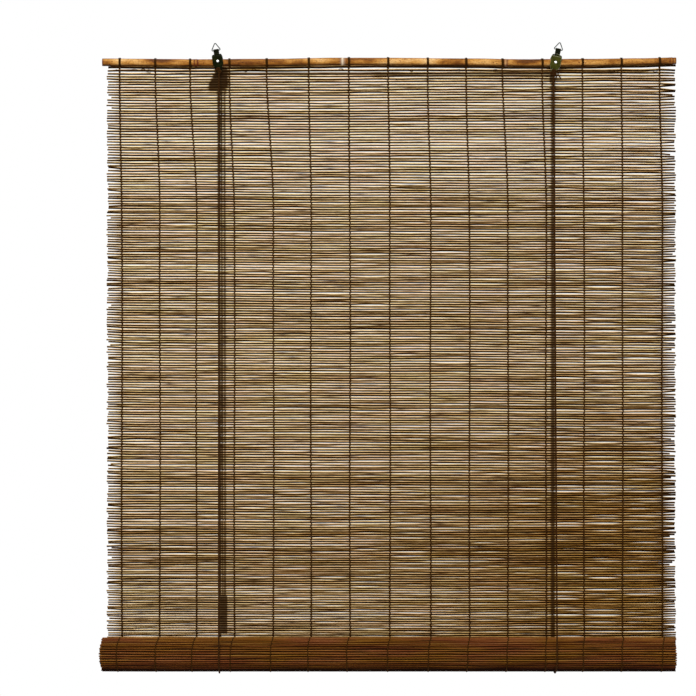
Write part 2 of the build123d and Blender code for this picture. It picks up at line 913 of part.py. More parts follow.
tassel_piece(
    "tassel_head",
    [
        (0, tassel_head_radius),
        (tassel_head_length * 0.7, tassel_head_radius),
        (tassel_head_length, tassel_waist_radius),
    ],
)
tassel_piece(
    "tassel_skirt",
    [
        (tassel_head_length, tassel_waist_radius),
        (tassel_head_length * 1.5, tassel_skirt_radius * 0.9),
        (tassel_length, tassel_skirt_radius),
    ],
)

print("roll radius", round(roll_radius, 3), "roll y", round(roll_y, 3))
print("sling radius", round(sling_radius, 3), "lift plane", lift_plane, "cross plane", cross_plane)
print("hank middle y", hank_middle, "eyelets", left_eyelet, right_eyelet)
print("angles", left_front_angle, right_front_angle, back_angle)
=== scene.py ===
import math
import random

import bmesh
import bpy
import numpy as np
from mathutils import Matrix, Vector


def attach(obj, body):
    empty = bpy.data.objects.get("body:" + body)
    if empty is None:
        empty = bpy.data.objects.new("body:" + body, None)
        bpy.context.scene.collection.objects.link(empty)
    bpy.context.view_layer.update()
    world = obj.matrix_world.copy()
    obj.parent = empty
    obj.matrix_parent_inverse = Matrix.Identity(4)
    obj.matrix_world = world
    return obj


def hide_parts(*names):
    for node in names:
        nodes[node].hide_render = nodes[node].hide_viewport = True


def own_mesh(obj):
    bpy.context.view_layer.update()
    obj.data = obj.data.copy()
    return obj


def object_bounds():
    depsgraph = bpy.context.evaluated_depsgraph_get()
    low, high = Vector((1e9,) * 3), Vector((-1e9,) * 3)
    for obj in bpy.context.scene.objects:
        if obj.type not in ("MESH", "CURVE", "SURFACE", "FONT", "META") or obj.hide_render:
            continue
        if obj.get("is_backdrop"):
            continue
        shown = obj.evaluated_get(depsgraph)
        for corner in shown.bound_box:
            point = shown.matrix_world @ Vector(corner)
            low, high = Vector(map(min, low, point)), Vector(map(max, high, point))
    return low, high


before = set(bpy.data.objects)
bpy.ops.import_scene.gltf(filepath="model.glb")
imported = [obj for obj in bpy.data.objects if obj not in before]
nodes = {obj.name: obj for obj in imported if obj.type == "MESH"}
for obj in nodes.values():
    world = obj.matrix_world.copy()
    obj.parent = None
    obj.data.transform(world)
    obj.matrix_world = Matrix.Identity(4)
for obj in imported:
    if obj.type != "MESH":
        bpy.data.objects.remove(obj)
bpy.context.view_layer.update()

MM = 0.001
rng = random.Random(20)


# The photograph's frame: the pole's middle and axis in pixels, and its scale
PX_MIDDLE, PY_AXIS = 389.2, 62.4
MM_PER_PX = 1.585


def px_x(px):
    """Millimetres to the right of the pole's middle, from a column of the photograph."""
    return (px - PX_MIDDLE) * MM_PER_PX


def px_z(py):
    """Millimetres above the pole's axis, from a row of the photograph."""
    return (PY_AXIS - py) * MM_PER_PX


def new_object(name, data):
    """A new object in the scene."""
    obj = bpy.data.objects.new(name, data)
    bpy.context.scene.collection.objects.link(obj)
    return obj


# Camera
cam_data = bpy.data.cameras.new("camera")
cam_data.sensor_width = 36
cam_data.lens = 163.2
cam_data.clip_end = 40
camera = new_object("camera", cam_data)
camera.location = (-0.0653, -5.0, -0.4527)
camera.rotation_euler = (math.radians(90), 0, 0)
bpy.context.scene.camera = camera


# Material helpers, with bump depths in metres
FIBRE_DEPTH = 0.0004
FINE_DEPTH = 0.0002
WHITE = (1, 1, 1)


def material(name):
    """A new material with its tree and its shader."""
    m = bpy.data.materials.new(name)
    m.use_nodes = True
    tree = m.node_tree
    tree.nodes.clear()
    out = tree.nodes.new("ShaderNodeOutputMaterial")
    shader = tree.nodes.new("ShaderNodeBsdfPrincipled")
    tree.links.new(shader.outputs[0], out.inputs[0])
    return m, tree, shader


def node(tree, kind, **values):
    n = tree.nodes.new(kind)
    for key, value in values.items():
        setattr(n, key, value)
    return n


def coords(tree, scale):
    """The object's own coordinates, stretched along each axis."""
    c = node(tree, "ShaderNodeTexCoord")
    m = node(tree, "ShaderNodeMapping")
    m.inputs["Scale"].default_value = scale
    tree.links.new(c.outputs["Object"], m.inputs["Vector"])
    return m.outputs[0]


def noise(tree, stretch, detail=3.0, rough=0.55):
    """Noise in the object's own coordinates, stretched along each axis."""
    n = node(tree, "ShaderNodeTexNoise")
    n.inputs["Scale"].default_value = 1.0
    n.inputs["Detail"].default_value = detail
    n.inputs["Roughness"].default_value = rough
    tree.links.new(coords(tree, stretch), n.inputs["Vector"])
    return n.outputs["Fac"]


def ramp(tree, factor, stops):
    r = node(tree, "ShaderNodeValToRGB")
    e = r.color_ramp.elements
    e[0].position, e[0].color = stops[0][0], (*stops[0][1], 1)
    e[1].position, e[1].color = stops[-1][0], (*stops[-1][1], 1)
    for place, color in stops[1:-1]:
        e.new(place).color = (*color, 1)
    tree.links.new(factor, r.inputs[0])
    return r.outputs[0]


def feed(tree, socket, value):
    """Set a socket to a number or a colour, or link it to another node's output."""
    if isinstance(value, (int, float)):
        socket.default_value = value
    elif isinstance(value, tuple):
        socket.default_value = (*value, 1)
    else:
        tree.links.new(value, socket)


def mix(tree, factor, a, b, kind="MIX"):
    m = node(tree, "ShaderNodeMix", data_type="RGBA", blend_type=kind)
    for place, value in ((0, factor), (6, a), (7, b)):
        feed(tree, m.inputs[place], value)
    return m.outputs[2]


def maths(tree, operation, a, b=0.0):
    m = node(tree, "ShaderNodeMath", operation=operation)
    feed(tree, m.inputs[0], a)
    feed(tree, m.inputs[1], b)
    return m.outputs[0]


def scaled(tree, value, factor, plus):
    """A value times a factor, plus a number or another value."""
    return maths(tree, "ADD", maths(tree, "MULTIPLY", value, factor), plus)


def attribute(tree, name):
    a = node(tree, "ShaderNodeAttribute", attribute_name=name)
    return a.outputs["Fac"]


def surface(tree, shader, color, rough, shine=0.5):
    """Give a shader its colour, its roughness and its specular level."""
    feed(tree, shader.inputs["Base Color"], color)
    feed(tree, shader.inputs["Roughness"], rough)
    feed(tree, shader.inputs["Specular IOR Level"], shine)


def bump(tree, shader, height, strength, distance):
    b = node(tree, "ShaderNodeBump")
    b.inputs["Strength"].default_value = strength
    b.inputs["Distance"].default_value = distance
    tree.links.new(height, b.inputs["Height"])
    tree.links.new(b.outputs[0], shader.inputs["Normal"])


def reed_material(name, section, hues, uneven, rough=0.7):
    """Reed seen in section: dark below, tan and then cream on its upper side as painted light from above
    and through the gaps, each reed in its own tone, with painted shade where things behind the mat block
    the light.
    """
    m, t, s = material(name)
    fibre = noise(t, (9, 900, 900), 4.0, 0.6)
    patch = noise(t, (7, 150, 150), 2.0)
    ragged = noise(t, (60, 500, 500), 3.0, 0.6)
    speck = noise(t, (260, 1400, 1400), 2.0, 0.7)
    hue = noise(t, (9, 60, 60), 2.0)
    place = scaled(t, attribute(t, "up"), 0.5, 0.5)
    for value, share in ((attribute(t, "tone"), 0.6), (fibre, 0.22), (patch, uneven), (ragged, 0.3)):
        place = scaled(t, maths(t, "SUBTRACT", value, 0.5), share, place)
    base = ramp(t, place, section)
    base = mix(t, 1.0, base, ramp(t, hue, [(0.35, hues[0]), (0.65, hues[1])]), "MULTIPLY")
    # Browner away from the mat's left end, and darker with painted shade where the gap above a reed is
    # narrow
    base = mix(t, attribute(t, "stain"), base, mix(t, 1.0, base, (0.46, 0.325, 0.125), "MULTIPLY"))
    base = mix(t, 0.5, base, ramp(t, speck, [(0.30, (0.35, 0.3, 0.25)), (0.46, WHITE)]), "MULTIPLY")
    base = mix(t, attribute(t, "joint"), base, (0.045, 0.018, 0.005))
    base = mix(t, attribute(t, "shade"), base, (0.022, 0.009, 0.002))
    surface(t, s, base, rough, 0.03)
    bump(t, s, fibre, 0.35, FIBRE_DEPTH)
    return m


# Colours across a reed's section, from its underside to its top: the tan and cream are painted light
REED = reed_material(
    "reed",
    [
        (0.0, (0.012, 0.0045, 0.0004)),
        (0.47, (0.022, 0.009, 0.0008)),
        (0.53, (0.13, 0.062, 0.010)),
        (0.59, (0.42, 0.25, 0.075)),
        (0.68, (0.70, 0.47, 0.20)),
        (0.80, (0.96, 0.79, 0.50)),
        (1.0, (1.0, 0.91, 0.68)),
    ],
    hues=((0.99, 1.0, 0.92), (1.03, 0.965, 1.04)),
    uneven=0.3,
)
# The roll's reeds: dark below and golden on top, which is painted light from above
ROLL_REED = reed_material(
    "roll_reed",
    [
        (0.0, (0.008, 0.002, 0.0003)),
        (0.2, (0.034, 0.009, 0.0016)),
        (0.5, (0.14, 0.042, 0.0075)),
        (0.75, (0.21, 0.082, 0.010)),
        (1.0, (0.30, 0.150, 0.035)),
    ],
    hues=((1.0, 1.06, 0.8), (0.95, 0.76, 1.3)),
    uneven=0.9,
    rough=0.6,
)


PLIES = 3


def fuzzy_plies(t, s, ply, dark, light, fuzz_stops):
    """Colour and relief of a thread's plies, with fuzz over them."""
    fuzz = ramp(t, noise(t, (900, 900, 900)), fuzz_stops)
    surface(t, s, mix(t, 0.4, mix(t, ply, dark, light), fuzz, "MULTIPLY"), 0.9, 0.06)
    bump(t, s, ply, 0.5, FINE_DEPTH)


def thread_material(name, dark, light, twist):
    """Twisted thread or cord: slanting plies from the u and v of each tube."""
    m, t, s = material(name)
    uv = node(t, "ShaderNodeTexCoord")
    split = node(t, "ShaderNodeSeparateXYZ")
    t.links.new(uv.outputs["UV"], split.inputs[0])
    turn = maths(t, "MULTIPLY", split.outputs[0], PLIES * 2 * math.pi)
    along = maths(t, "MULTIPLY", split.outputs[1], twist)
    ply = scaled(t, maths(t, "SINE", maths(t, "ADD", turn, along)), 0.5, 0.5)
    fuzzy_plies(t, s, ply, dark, light, [(0.3, (0.45,) * 3), (0.7, (1.15, 1.1, 1.05))])
    return m


THREAD = thread_material("warp_thread", (0.014, 0.005, 0.0006), (0.070, 0.027, 0.0025), 2600.0)
CORD = thread_material("lift_cord", (0.014, 0.005, 0.001), (0.062, 0.024, 0.004), 1100.0)


def hank_cord_material():
    """The free cords' curves: plies made from a wave that crosses the cord."""
    m, t, s = material("pull_cord")
    w = node(t, "ShaderNodeTexWave", wave_type="BANDS", bands_direction="DIAGONAL")
    w.inputs["Scale"].default_value = 260
    w.inputs["Distortion"].default_value = 1.2
    t.links.new(coords(t, (1, 1, 1)), w.inputs["Vector"])
    dark, light = (0.014, 0.004, 0.0015), (0.062, 0.022, 0.007)
    fuzzy_plies(t, s, w.outputs["Fac"], dark, light, [(0.3, (0.5,) * 3), (0.7, (1.1,) * 3)])
    return m


PULL = hank_cord_material()


def bamboo_material():
    """Lacquered cane: golden segments, mottled and speckled, dark rings at the nodes, fibre along it, a
    darker top edge, and painted shade along its underside and in its hollow ends.
    """
    m, t, s = material("bamboo")
    fibre = noise(t, (16, 700, 700), 4.0, 0.6)
    blotch = noise(t, (22, 60, 60))
    fine = noise(t, (420, 700, 700), 3.0, 0.7)
    level = scaled(t, maths(t, "SUBTRACT", fibre, 0.5), 0.35, attribute(t, "tone"))
    level = scaled(t, maths(t, "SUBTRACT", blotch, 0.5), 1.7, level)
    base = ramp(t, level, [
        (0.0, (0.040, 0.010, 0.001)),
        (0.3, (0.15, 0.046, 0.004)),
        (0.5, (0.34, 0.132, 0.016)),
        (0.72, (0.60, 0.30, 0.070)),
        (1.0, (0.80, 0.52, 0.22)),
    ])
    specks = ramp(t, fine, [(0.38, (0.22, 0.08, 0.04)), (0.46, WHITE)])
    base = mix(t, 0.85, base, specks, "MULTIPLY")
    # Darker along the cane's top edge, and painted shade along its underside
    height = scaled(t, attribute(t, "up"), 0.5, 0.5)
    edges = [(0.06, (0.10, 0.055, 0.02)), (0.31, WHITE), (0.87, WHITE), (0.96, (0.42, 0.20, 0.10))]
    base = mix(t, 1.0, base, ramp(t, height, edges), "MULTIPLY")
    base = mix(t, attribute(t, "pale"), base, (0.78, 0.66, 0.50))
    # Dark grooves at the nodes and dark cut ends, and painted shade in the hollow ends
    base = mix(t, attribute(t, "joint"), base, (0.10, 0.014, 0.002))
    surface(t, s, base, scaled(t, fine, 0.3, 0.35), 0.12)
    bump(t, s, fibre, 0.25, FIBRE_DEPTH)
    return m


BAMBOO = bamboo_material()


def paint_material(name, dark, light):
    """Brushed on green enamel over steel: uneven colour, orange peel, and a darker neck at its ring."""
    m, t, s = material(name)
    cloud = noise(t, (150, 150, 150), 4.0)
    peel = noise(t, (1300, 1300, 1300), 2.0)
    split = node(t, "ShaderNodeSeparateXYZ")
    t.links.new(coords(t, (1, 1, 1)), split.inputs[0])
    neck = ramp(t, maths(t, "MULTIPLY", split.outputs[2], 50.0), [(0.44, (0, 0, 0)), (0.60, WHITE)])
    base = mix(t, neck, ramp(t, cloud, [(0.35, dark), (0.65, light)]), (0.0045, 0.0055, 0.002))
    surface(t, s, base, ramp(t, cloud, [(0.3, (0.32,) * 3), (0.75, (0.5,) * 3)]), 0.025)
    bump(t, s, peel, 0.25, FINE_DEPTH)
    return m


PAINT_LEFT = paint_material("green_paint_left", (0.0015, 0.0025, 0.0004), (0.009, 0.012, 0.0015))
PAINT_RIGHT = paint_material("green_paint_right", (0.017, 0.020, 0.002), (0.064, 0.064, 0.009))


def metal_material(name, color, rough):
    """Bare metal with fine scratches along it."""
    m, t, s = material(name)
    lines = noise(t, (60, 900, 900), 3.0, 0.7)
    base = mix(t, lines, tuple(c * 0.75 for c in color), tuple(min(1, c * 1.15) for c in color))
    surface(t, s, base, scaled(t, lines, 0.25, rough))
    s.inputs["Metallic"].default_value = 1.0
    bump(t, s, lines, 0.1, FINE_DEPTH)
    return m


WORN = metal_material("worn_edge", (0.30, 0.29, 0.20), 0.3)
WORN_DARK = metal_material("worn_dark_edge", (0.030, 0.034, 0.016), 0.4)
BRIGHT = metal_material("bright_rivet", (0.92, 0.92, 0.90), 0.08)
WIRE = metal_material("dark_wire", (0.075, 0.085, 0.08), 0.3)
STEEL = metal_material("pin_steel", (0.55, 0.55, 0.55), 0.25)


def moulded_material():
    """Dark brown plastic of the wheels and cams."""
    m, t, s = material("pulley_plastic")
    cloud = noise(t, (300, 300, 300))
    surface(t, s, ramp(t, cloud, [(0.3, (0.018, 0.008, 0.003)), (0.7, (0.045, 0.022, 0.009))]), 0.5, 0.2)
    bump(t, s, cloud, 0.15, FINE_DEPTH)
    return m


MOULDED = moulded_material()


# Mesh helpers, in millimetres
def ease(t):
    """From 0 to 1 with soft ends, and flat outside them."""
    t = min(1.0, max(0.0, t))
    return t * t * (3 - 2 * t)


# How dark a reed's cut end is
CUT_END = 0.55


class Build:
    """Gathers tubes and other shapes, and makes one mesh of them."""

    def __init__(self):
        self.verts, self.faces, self.uvs, self.values = [], [], [], {}
        self.count = 0

    def add(self, verts, faces, uvs, **values):
        """Add a mesh with values at its vertices; what lacks a value has 0."""
        n = len(verts)
        self.verts.append(verts)
        self.faces += [tuple(i + self.count for i in f) for f in faces]
        self.uvs.append(uvs)
        for key in set(self.values) | set(values):
            known = self.values.setdefault(key, [np.zeros(self.count)] if self.count else [])
            value = values.get(key, 0.0)
            known.append(np.full(n, float(value)) if np.isscalar(value) else np.asarray(value, float))
        self.count += n

    def tube(self, path, radius, sides=8, caps=True, squeeze=1.0, **values):
        """A tube along a path, with values at its points and its height in section as up."""
        path = np.asarray(path, float)
        n = len(path)
        radius = np.broadcast_to(np.asarray(radius, float), (n,))
        tangent = np.gradient(path, axis=0)
        tangent /= np.linalg.norm(tangent, axis=1)[:, None]
        normal = np.cross(tangent[0], (0, 1, 0) if abs(tangent[0][1]) < 0.9 else (1, 0, 0))
        normal /= np.linalg.norm(normal)
        normals = np.zeros((n, 3))
        for i in range(n):
            normal = normal - tangent[i] * (normal @ tangent[i])
            normal /= np.linalg.norm(normal)
            normals[i] = normal
        across = np.cross(tangent, normals)
        angle = np.arange(sides) * 2 * math.pi / sides
        ring = (
            normals[:, None] * np.cos(angle)[None, :, None]
            + across[:, None] * np.sin(angle)[None, :, None] * squeeze
        )
        values["up"] = np.tile(np.cos(angle), n)
        verts = path[:, None] + ring * radius[:, None, None]
        along = np.concatenate([[0], np.cumsum(np.linalg.norm(np.diff(path, axis=0), axis=1))])
        uv = np.stack(np.broadcast_arrays(angle[None] / (2 * math.pi), along[:, None] * MM), axis=-1)
        spread = {
            k: (v if np.isscalar(v) or k == "up" else np.repeat(np.asarray(v, float), sides))
            for k, v in values.items()
        }
        faces = []
        for i in range(n - 1):
            a, b = i * sides, (i + 1) * sides
            for k in range(sides):
                j = (k + 1) % sides
                faces.append((a + k, a + j, b + j, b + k))
        self.add(verts.reshape(-1, 3), faces, uv.reshape(-1, 2), **spread)
        if not caps:
            return
        for end, order in ((0, -1), (n - 1, 1)):
            cap = np.concatenate([verts[end][::order], path[end][None]])
            fan = [(k, (k + 1) % sides, sides) for k in range(sides)]
            ends = {k: (v if np.isscalar(v) else v[end]) for k, v in values.items() if k != "up"}
            if "joint" in values:
                ends["joint"] = CUT_END
            self.add(cap, fan, np.zeros((sides + 1, 2)), **ends)

    def make(self, name, mat, body, slot):
        """One object of all that was added, riding on a body."""
        mesh = bpy.data.meshes.new(name)
        verts = np.concatenate(self.verts) * MM
        mesh.from_pydata(verts.tolist(), [], self.faces)
        uvs = np.concatenate(self.uvs)
        layer = mesh.uv_layers.new(name="uv")
        loops = np.zeros(len(mesh.loops), np.int32)
        mesh.loops.foreach_get("vertex_index", loops)
        layer.data.foreach_set("uv", uvs[loops].astype(np.float32).ravel())
        for key, parts in self.values.items():
            a = mesh.attributes.new(key, "FLOAT", "POINT")
            a.data.foreach_set("value", np.concatenate(parts).astype(np.float32))
        mesh.polygons.foreach_set("use_smooth", [True] * len(mesh.polygons))
        mesh.materials.append(mat)
        mesh.update()
        obj = new_object(name, mesh)
        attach(obj, body)
        return obj


def nurbs(name, points, radius, mat, body):
    """A free cord: one open NURBS spline through the route's points, in millimetres."""
    data = bpy.data.curves.new(name, "CURVE")
    data.dimensions = "3D"
    spline = data.splines.new("NURBS")
    spline.points.add(len(points) - 1)
    for p, at in zip(spline.points, points):
        p.co = (at[0] * MM, at[1] * MM, at[2] * MM, 1)
    spline.order_u = 3
    spline.use_endpoint_u = True
    spline.resolution_u = 6
    data.bevel_depth = radius * MM
    data.bevel_resolution = 3
    data.use_fill_caps = True
    data.materials.append(mat)
    obj = new_object(name, data)
    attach(obj, body)
    return obj


# Free cords: the hank, the two pull cords and their tassel
CORD_R = 1.1
HANK_Y = 21.0
TASSEL_TOP = -847.0
TURN_STEPS = 12
WAIST_X, WAIST_Z = -269.6, -17.5
LOBES = {-1: (-0.52, -0.854), 1: (0.44, -0.898)}
LOBE_REACH = 25.5
LAYER_DEPTH = 2.3
WRAP_ACROSS, WRAP_DEEP, WRAP_PITCH = 4.6, 4.4, 0.16


def hank_turns(turns, first_depth, widths, seed):
    """Turns of the tied up hank: each loops to the left and to the right, hanging from its waist."""
    r = random.Random(seed)
    points = []
    for k in range(turns):
        reach = LOBE_REACH - 1.3 * (k % 3) + r.uniform(-1.3, 1.3)
        wide = widths[k % 3] + r.uniform(-0.4, 0.4)
        depth = first_depth + LAYER_DEPTH * (k // 3)
        for step in range(TURN_STEPS):
            a = step * 2 * math.pi / TURN_STEPS
            side = 1 if math.sin(a) >= 0 else -1
            out = abs(math.sin(a))
            along, down = LOBES[side]
            across = wide * math.cos(a) * (0.25 + 0.75 * out)
            x = WAIST_X + reach * out * along + across * -down * side
            z = WAIST_Z + reach * out * down + across * along * side
            points.append((x, depth + 0.5 * math.sin(2 * a + k), z))
    return points


def waist_wraps(turns):
    """Turns of the cord round the hank's waist."""
    points = []
    for step in range(turns * TURN_STEPS):
        a = step * 2 * math.pi / TURN_STEPS
        x = WAIST_X + WRAP_ACROSS * math.cos(a)
        y = HANK_Y + 0.2 + WRAP_DEEP * math.sin(a)
        points.append((x, y, WAIST_Z + 3.0 - step * WRAP_PITCH))
    return points


cord_1_points = (
    [(-261.0, 16.3, -41.0), (-261.4, 18.0, -42.4), (-263.0, 18.6, -38.0), (-267.0, 18.4, -26.0)]
    + hank_turns(9, 18.4, (2.2, 4.2, 6.2), 3)
    + waist_wraps(4)
    + [(-267.4, 22.0, -32.0), (-266.3, 21.2, -42.0), (-266.3, HANK_Y, -46.0), (-266.1, HANK_Y, -90.0)]
    + [(-264.9, HANK_Y, -400.0), (-263.5, HANK_Y, -830.0), (-263.4, HANK_Y, -848.5)]
)
cord_2_points = (
    [(-271.0, 16.3, -41.0), (-271.2, 18.2, -42.4), (-270.8, 19.6, -38.0), (-270.0, 19.6, -26.0)]
    + hank_turns(8, 19.55, (3.2, 5.2, 1.4), 8)
    + [(-265.4, 22.6, -30.0), (-261.4, 21.4, -40.0), (-260.9, HANK_Y, -46.0), (-260.9, HANK_Y, -90.0)]
    + [(-260.5, HANK_Y, -400.0), (-260.1, HANK_Y, -830.0), (-260.1, HANK_Y, -848.5)]
)
pull_cord_1 = nurbs("pull_cord_and_hank_1", cord_1_points, CORD_R, PULL, "blind")
pull_cord_2 = nurbs("pull_cord_and_hank_2", cord_2_points, CORD_R, PULL, "blind")
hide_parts("pull_cord_1", "cord_hank")
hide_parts("pull_cord_2")

# Tassel: a head bound with thread, its waist binding, and a skirt of threads
TASSEL_X = -261.75
HEAD_LENGTH, HEAD_R, HEAD_RINGS, HEAD_STEPS = 12.6, 3.2, 13, 40
BINDING_Z, BINDING_R, BINDING_TURNS, BINDING_PITCH = -8.8, 3.75, 5, 0.85
SKIRT_THREADS, SKIRT_TOP, SKIRT_LENGTH, SKIRT_STEPS = 150, -12.8, 44.0, 8
SKIRT_TOP_R, SKIRT_LOW_R, SKIRT_THREAD_R = 3.0, 4.6, 0.42

head = Build()
head_path, head_radius = [], []
for i in range(HEAD_STEPS + 1):
    share = i / HEAD_STEPS
    if share < 0.8:
        fat = HEAD_R + 1.15 * math.sin(math.pi * min(1, share * 1.25))
    else:
        fat = HEAD_R + 2.7 * (1 - share)
    head_path.append((TASSEL_X, HANK_Y, TASSEL_TOP - 0.2 - HEAD_LENGTH * share))
    head_radius.append(fat + 0.22 * math.sin(share * 2 * math.pi * HEAD_RINGS))
head.tube(head_path, head_radius, 24)
for k in range(BINDING_TURNS):
    z = TASSEL_TOP + BINDING_Z - k * BINDING_PITCH
    ring = []
    for a in np.linspace(0, 2 * math.pi, 33):
        x, y = TASSEL_X + BINDING_R * math.cos(a), HANK_Y + BINDING_R * math.sin(a)
        ring.append((x, y, z + BINDING_PITCH * a / (2 * math.pi)))
    head.tube(ring, 0.5, 6)
tassel_head = head.make("tassel_bound_head", THREAD, "blind", slot="tassel")
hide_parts("tassel_head")

skirt = Build()
for k in range(SKIRT_THREADS):
    a = rng.uniform(0, 2 * math.pi)
    share = math.sqrt(rng.uniform(0.05, 1))
    top = SKIRT_TOP_R * share
    low = (SKIRT_LOW_R + rng.uniform(-0.6, 0.2)) * share
    drop = SKIRT_LENGTH - rng.uniform(0, 2.5) - 1.5 * (1 - share)
    wave = rng.uniform(-0.5, 0.5)
    path = []
    for i in range(SKIRT_STEPS + 1):
        q = i / SKIRT_STEPS
        r = top + (low - top) * (1 - (1 - q) ** 2)
        b = a + wave * q * 0.5
        x = TASSEL_X + r * math.cos(b) + 0.15 * math.sin(q * 9 + k)
        y = HANK_Y + r * math.sin(b) + 0.15 * math.cos(q * 8 + k)
        path.append((x, y, TASSEL_TOP + SKIRT_TOP - drop * q))
    skirt.tube(path, SKIRT_THREAD_R, 5)
tassel_skirt = skirt.make("tassel_thread_skirt", THREAD, "blind", slot="tassel")
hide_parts("tassel_skirt")


# Head pole's shape: places along it with its height there, in millimetres
POLE_BENDS = (
    (-455, 0.0), (-300, -1.2), (-205, -0.6), (-75, 1.2), (-25, 1.2),
    (130, 0.1), (205, -1.1), (315, -0.5), (390, 0.8), (455, 2.4),
)
POLE_HALF = 454.6
POLE_R, POLE_TAPER = 6.1, 0.75


def pole_lift(x):
    """The cane's height at x: it bends a little at each of its nodes."""
    for (x0, z0), (x1, z1) in zip(POLE_BENDS, POLE_BENDS[1:]):
        if x <= x1:
            return z0 + (z1 - z0) * ease((x - x0) / (x1 - x0))
    return POLE_BENDS[-1][1]


def pole_girth(x):
    """The cane's radius at x: it thins towards its right end."""
    return POLE_R - POLE_TAPER * ease((x - 300) / 150.0)


# Reed mat: the photograph's columns at which each warp thread leaves the pole and meets the roll
WARP_TOP_PX = (
    119.7, 155.3, 190.1, 229.4, 266.6, 308.7, 348.8, 388.0, 427.6, 466.0, 502.3, 542.1, 582.3, 621.2, 659.4,
)
WARP_LOW_PX = (
    122.0, 160.0, 196.5, 234.5, 273.6, 311.0, 350.0, 390.0, 430.5, 469.5, 508.0, 546.0, 584.0, 622.5, 662.0,
)
WARPS = range(len(WARP_TOP_PX))
MAT_LEFT, MAT_RIGHT = -446.5, 453.5
MAT_TOP, ROLL_Z, ROLL_Y = -9.0, -935.0, -27.01
FIRST_ROW, ROW_JITTER = -8.5, 0.018

# The rows' pitch, at depths below the pole's axis
PITCH_DEPTHS = (9, 28, 180, 195, 370, 390, 735, 750, 935)
PITCHES = (4.35, 4.2, 4.2, 3.85, 3.85, 3.95, 3.93, 3.78, 3.66)


def warp_x(number, z):
    """A warp thread's place across the mat at height z: it drifts to the right below the pole."""
    share = ease((MAT_TOP - z) / 235.0)
    wander = 0.5 * math.sin(z * 0.011 + number * 2.1) * ease((MAT_TOP - z) / 120.0)
    return px_x(WARP_TOP_PX[number] + (WARP_LOW_PX[number] - WARP_TOP_PX[number]) * share) + wander


def tilt(x, z):
    """The reeds run up to the right at the pole, down to the right below it, and level at the roll."""
    share = (MAT_TOP - z) / (MAT_TOP - ROLL_Z)
    slope = 1.2 * (1 - ease(share * 5))
    if share < 0.87:
        slope -= 2.4 * math.sin(math.pi * min(1, max(0, share * 1.15)))
    return slope * x / 450.0


def pitch(z):
    """From a row to the next one."""
    return float(np.interp(-z, PITCH_DEPTHS, PITCHES))


rows = []
z = FIRST_ROW
while z > ROLL_Z + 1.5:
    rows.append(z)
    z -= pitch(z) * (1 + rng.gauss(0, ROW_JITTER))

# The cords and the tassel behind the mat keep the light off the reeds in front of them:
# x at the top and at the bottom, half width, and the heights between which each lies
BEHIND = (
    (-270.2, -267.8, 1.5, -12.0, -935.0),
    (-266.3, -263.4, 0.7, -40.0, -850.0),
    (-260.9, -260.1, 0.7, -40.0, -850.0),
    (259.6, 259.4, 2.6, -12.0, -935.0),
    (-261.75, -261.75, 4.8, -846.0, -905.0),
    (257.5, 256.0, 6.0, -17.0, -25.0),
    (258.5, 257.0, 3.6, -25.0, -32.0),
)
CORD_SHADE, CROSS_SHADE, FAN_SHADE = 0.85, 0.62, 0.93
CROSS_LEFT, CROSS_RIGHT, CROSS_Z, CROSS_HALF = -262.0, 254.0, -19.3, 2.3

# The hank's fan widens to the left on its way down, and is rounded off at its right and lower sides
FAN_TOP, FAN_LOW = -12.0, -47.0
FAN_LEFT, FAN_RIGHT = -275.5, -255.6

# Finer points along the reeds where the shade changes fast
FINE_LEFT = np.arange(-290.0, -249.0, 3.0)
FINE_STRANDS = np.arange(-273.4, -252.0, 1.6)
FINE_RIGHT = np.arange(250.0, 266.0, 1.6)


def shade_at(x, z):
    """How far the light behind the mat is blocked: 0 where it isn't."""
    value = 0.0
    for top, low, half, z_top, z_low in BEHIND:
        if z_low <= z <= z_top:
            middle = top + (low - top) * z / ROLL_Z
            value = max(value, CORD_SHADE * (1 - ease((abs(x - middle) - half) / 1.3)))
    if CROSS_LEFT < x < CROSS_RIGHT and abs(z - CROSS_Z) < CROSS_HALF:
        value = CROSS_SHADE
    if FAN_LOW < z < FAN_TOP:
        from_left = x - (FAN_LEFT + 0.50 * min(0.0, max(-22.0, z + 15.0)))
        from_right = FAN_RIGHT - 3.0 * ease((-38.0 - z) / 6.0) - x
        below = ease((z + 48.0) / 6.0)
        value = max(value, FAN_SHADE * below * ease(min(from_left, from_right) / 2.6 + 0.5))
    return value


def stations(z, left, right):
    """The places where a reed is held, and the places of its points along it."""
    held = [left] + [warp_x(k, z) for k in WARPS] + [right]
    xs = {right}
    for a, b in zip(held, held[1:]):
        xs |= set(np.linspace(a, b, 5)[:-1].tolist())
    xs |= set((FINE_LEFT if z > -50 else FINE_STRANDS).tolist())
    xs |= set(FINE_RIGHT.tolist())
    return held, np.array(sorted(xs))


# The threads hold the reeds less tightly after this span, to the right, and here and there
LOOSE_SPAN, LOOSE_CHANCE, LOOSE_FACTOR = 11, 0.06, 1.9


def bowed(held, xs, loose):
    """How far each point of a reed lies behind its row and above it: it is held at each warp thread."""
    sway, rise = np.zeros(len(xs)), np.zeros(len(xs))
    for s, (a, b) in enumerate(zip(held, held[1:])):
        bow, lean, depth = rng.gauss(0, loose), rng.gauss(0, 0.07), rng.gauss(0, 0.3)
        if s > LOOSE_SPAN or rng.random() < LOOSE_CHANCE:
            bow *= LOOSE_FACTOR
        inside = (xs >= a) & (xs <= b)
        q = (xs[inside] - a) / (b - a)
        if s == 0:
            rise[inside] = bow * 3.2 * (1 - q)
        elif s == len(held) - 2:
            rise[inside] = bow * 2.3 * q
        else:
            rise[inside] = bow * np.sin(math.pi * q) + lean * np.sin(2 * math.pi * q)
            sway[inside] = 0.6 * depth * np.sin(math.pi * q)
    return sway, rise


TAPER_LENGTH = 26.0


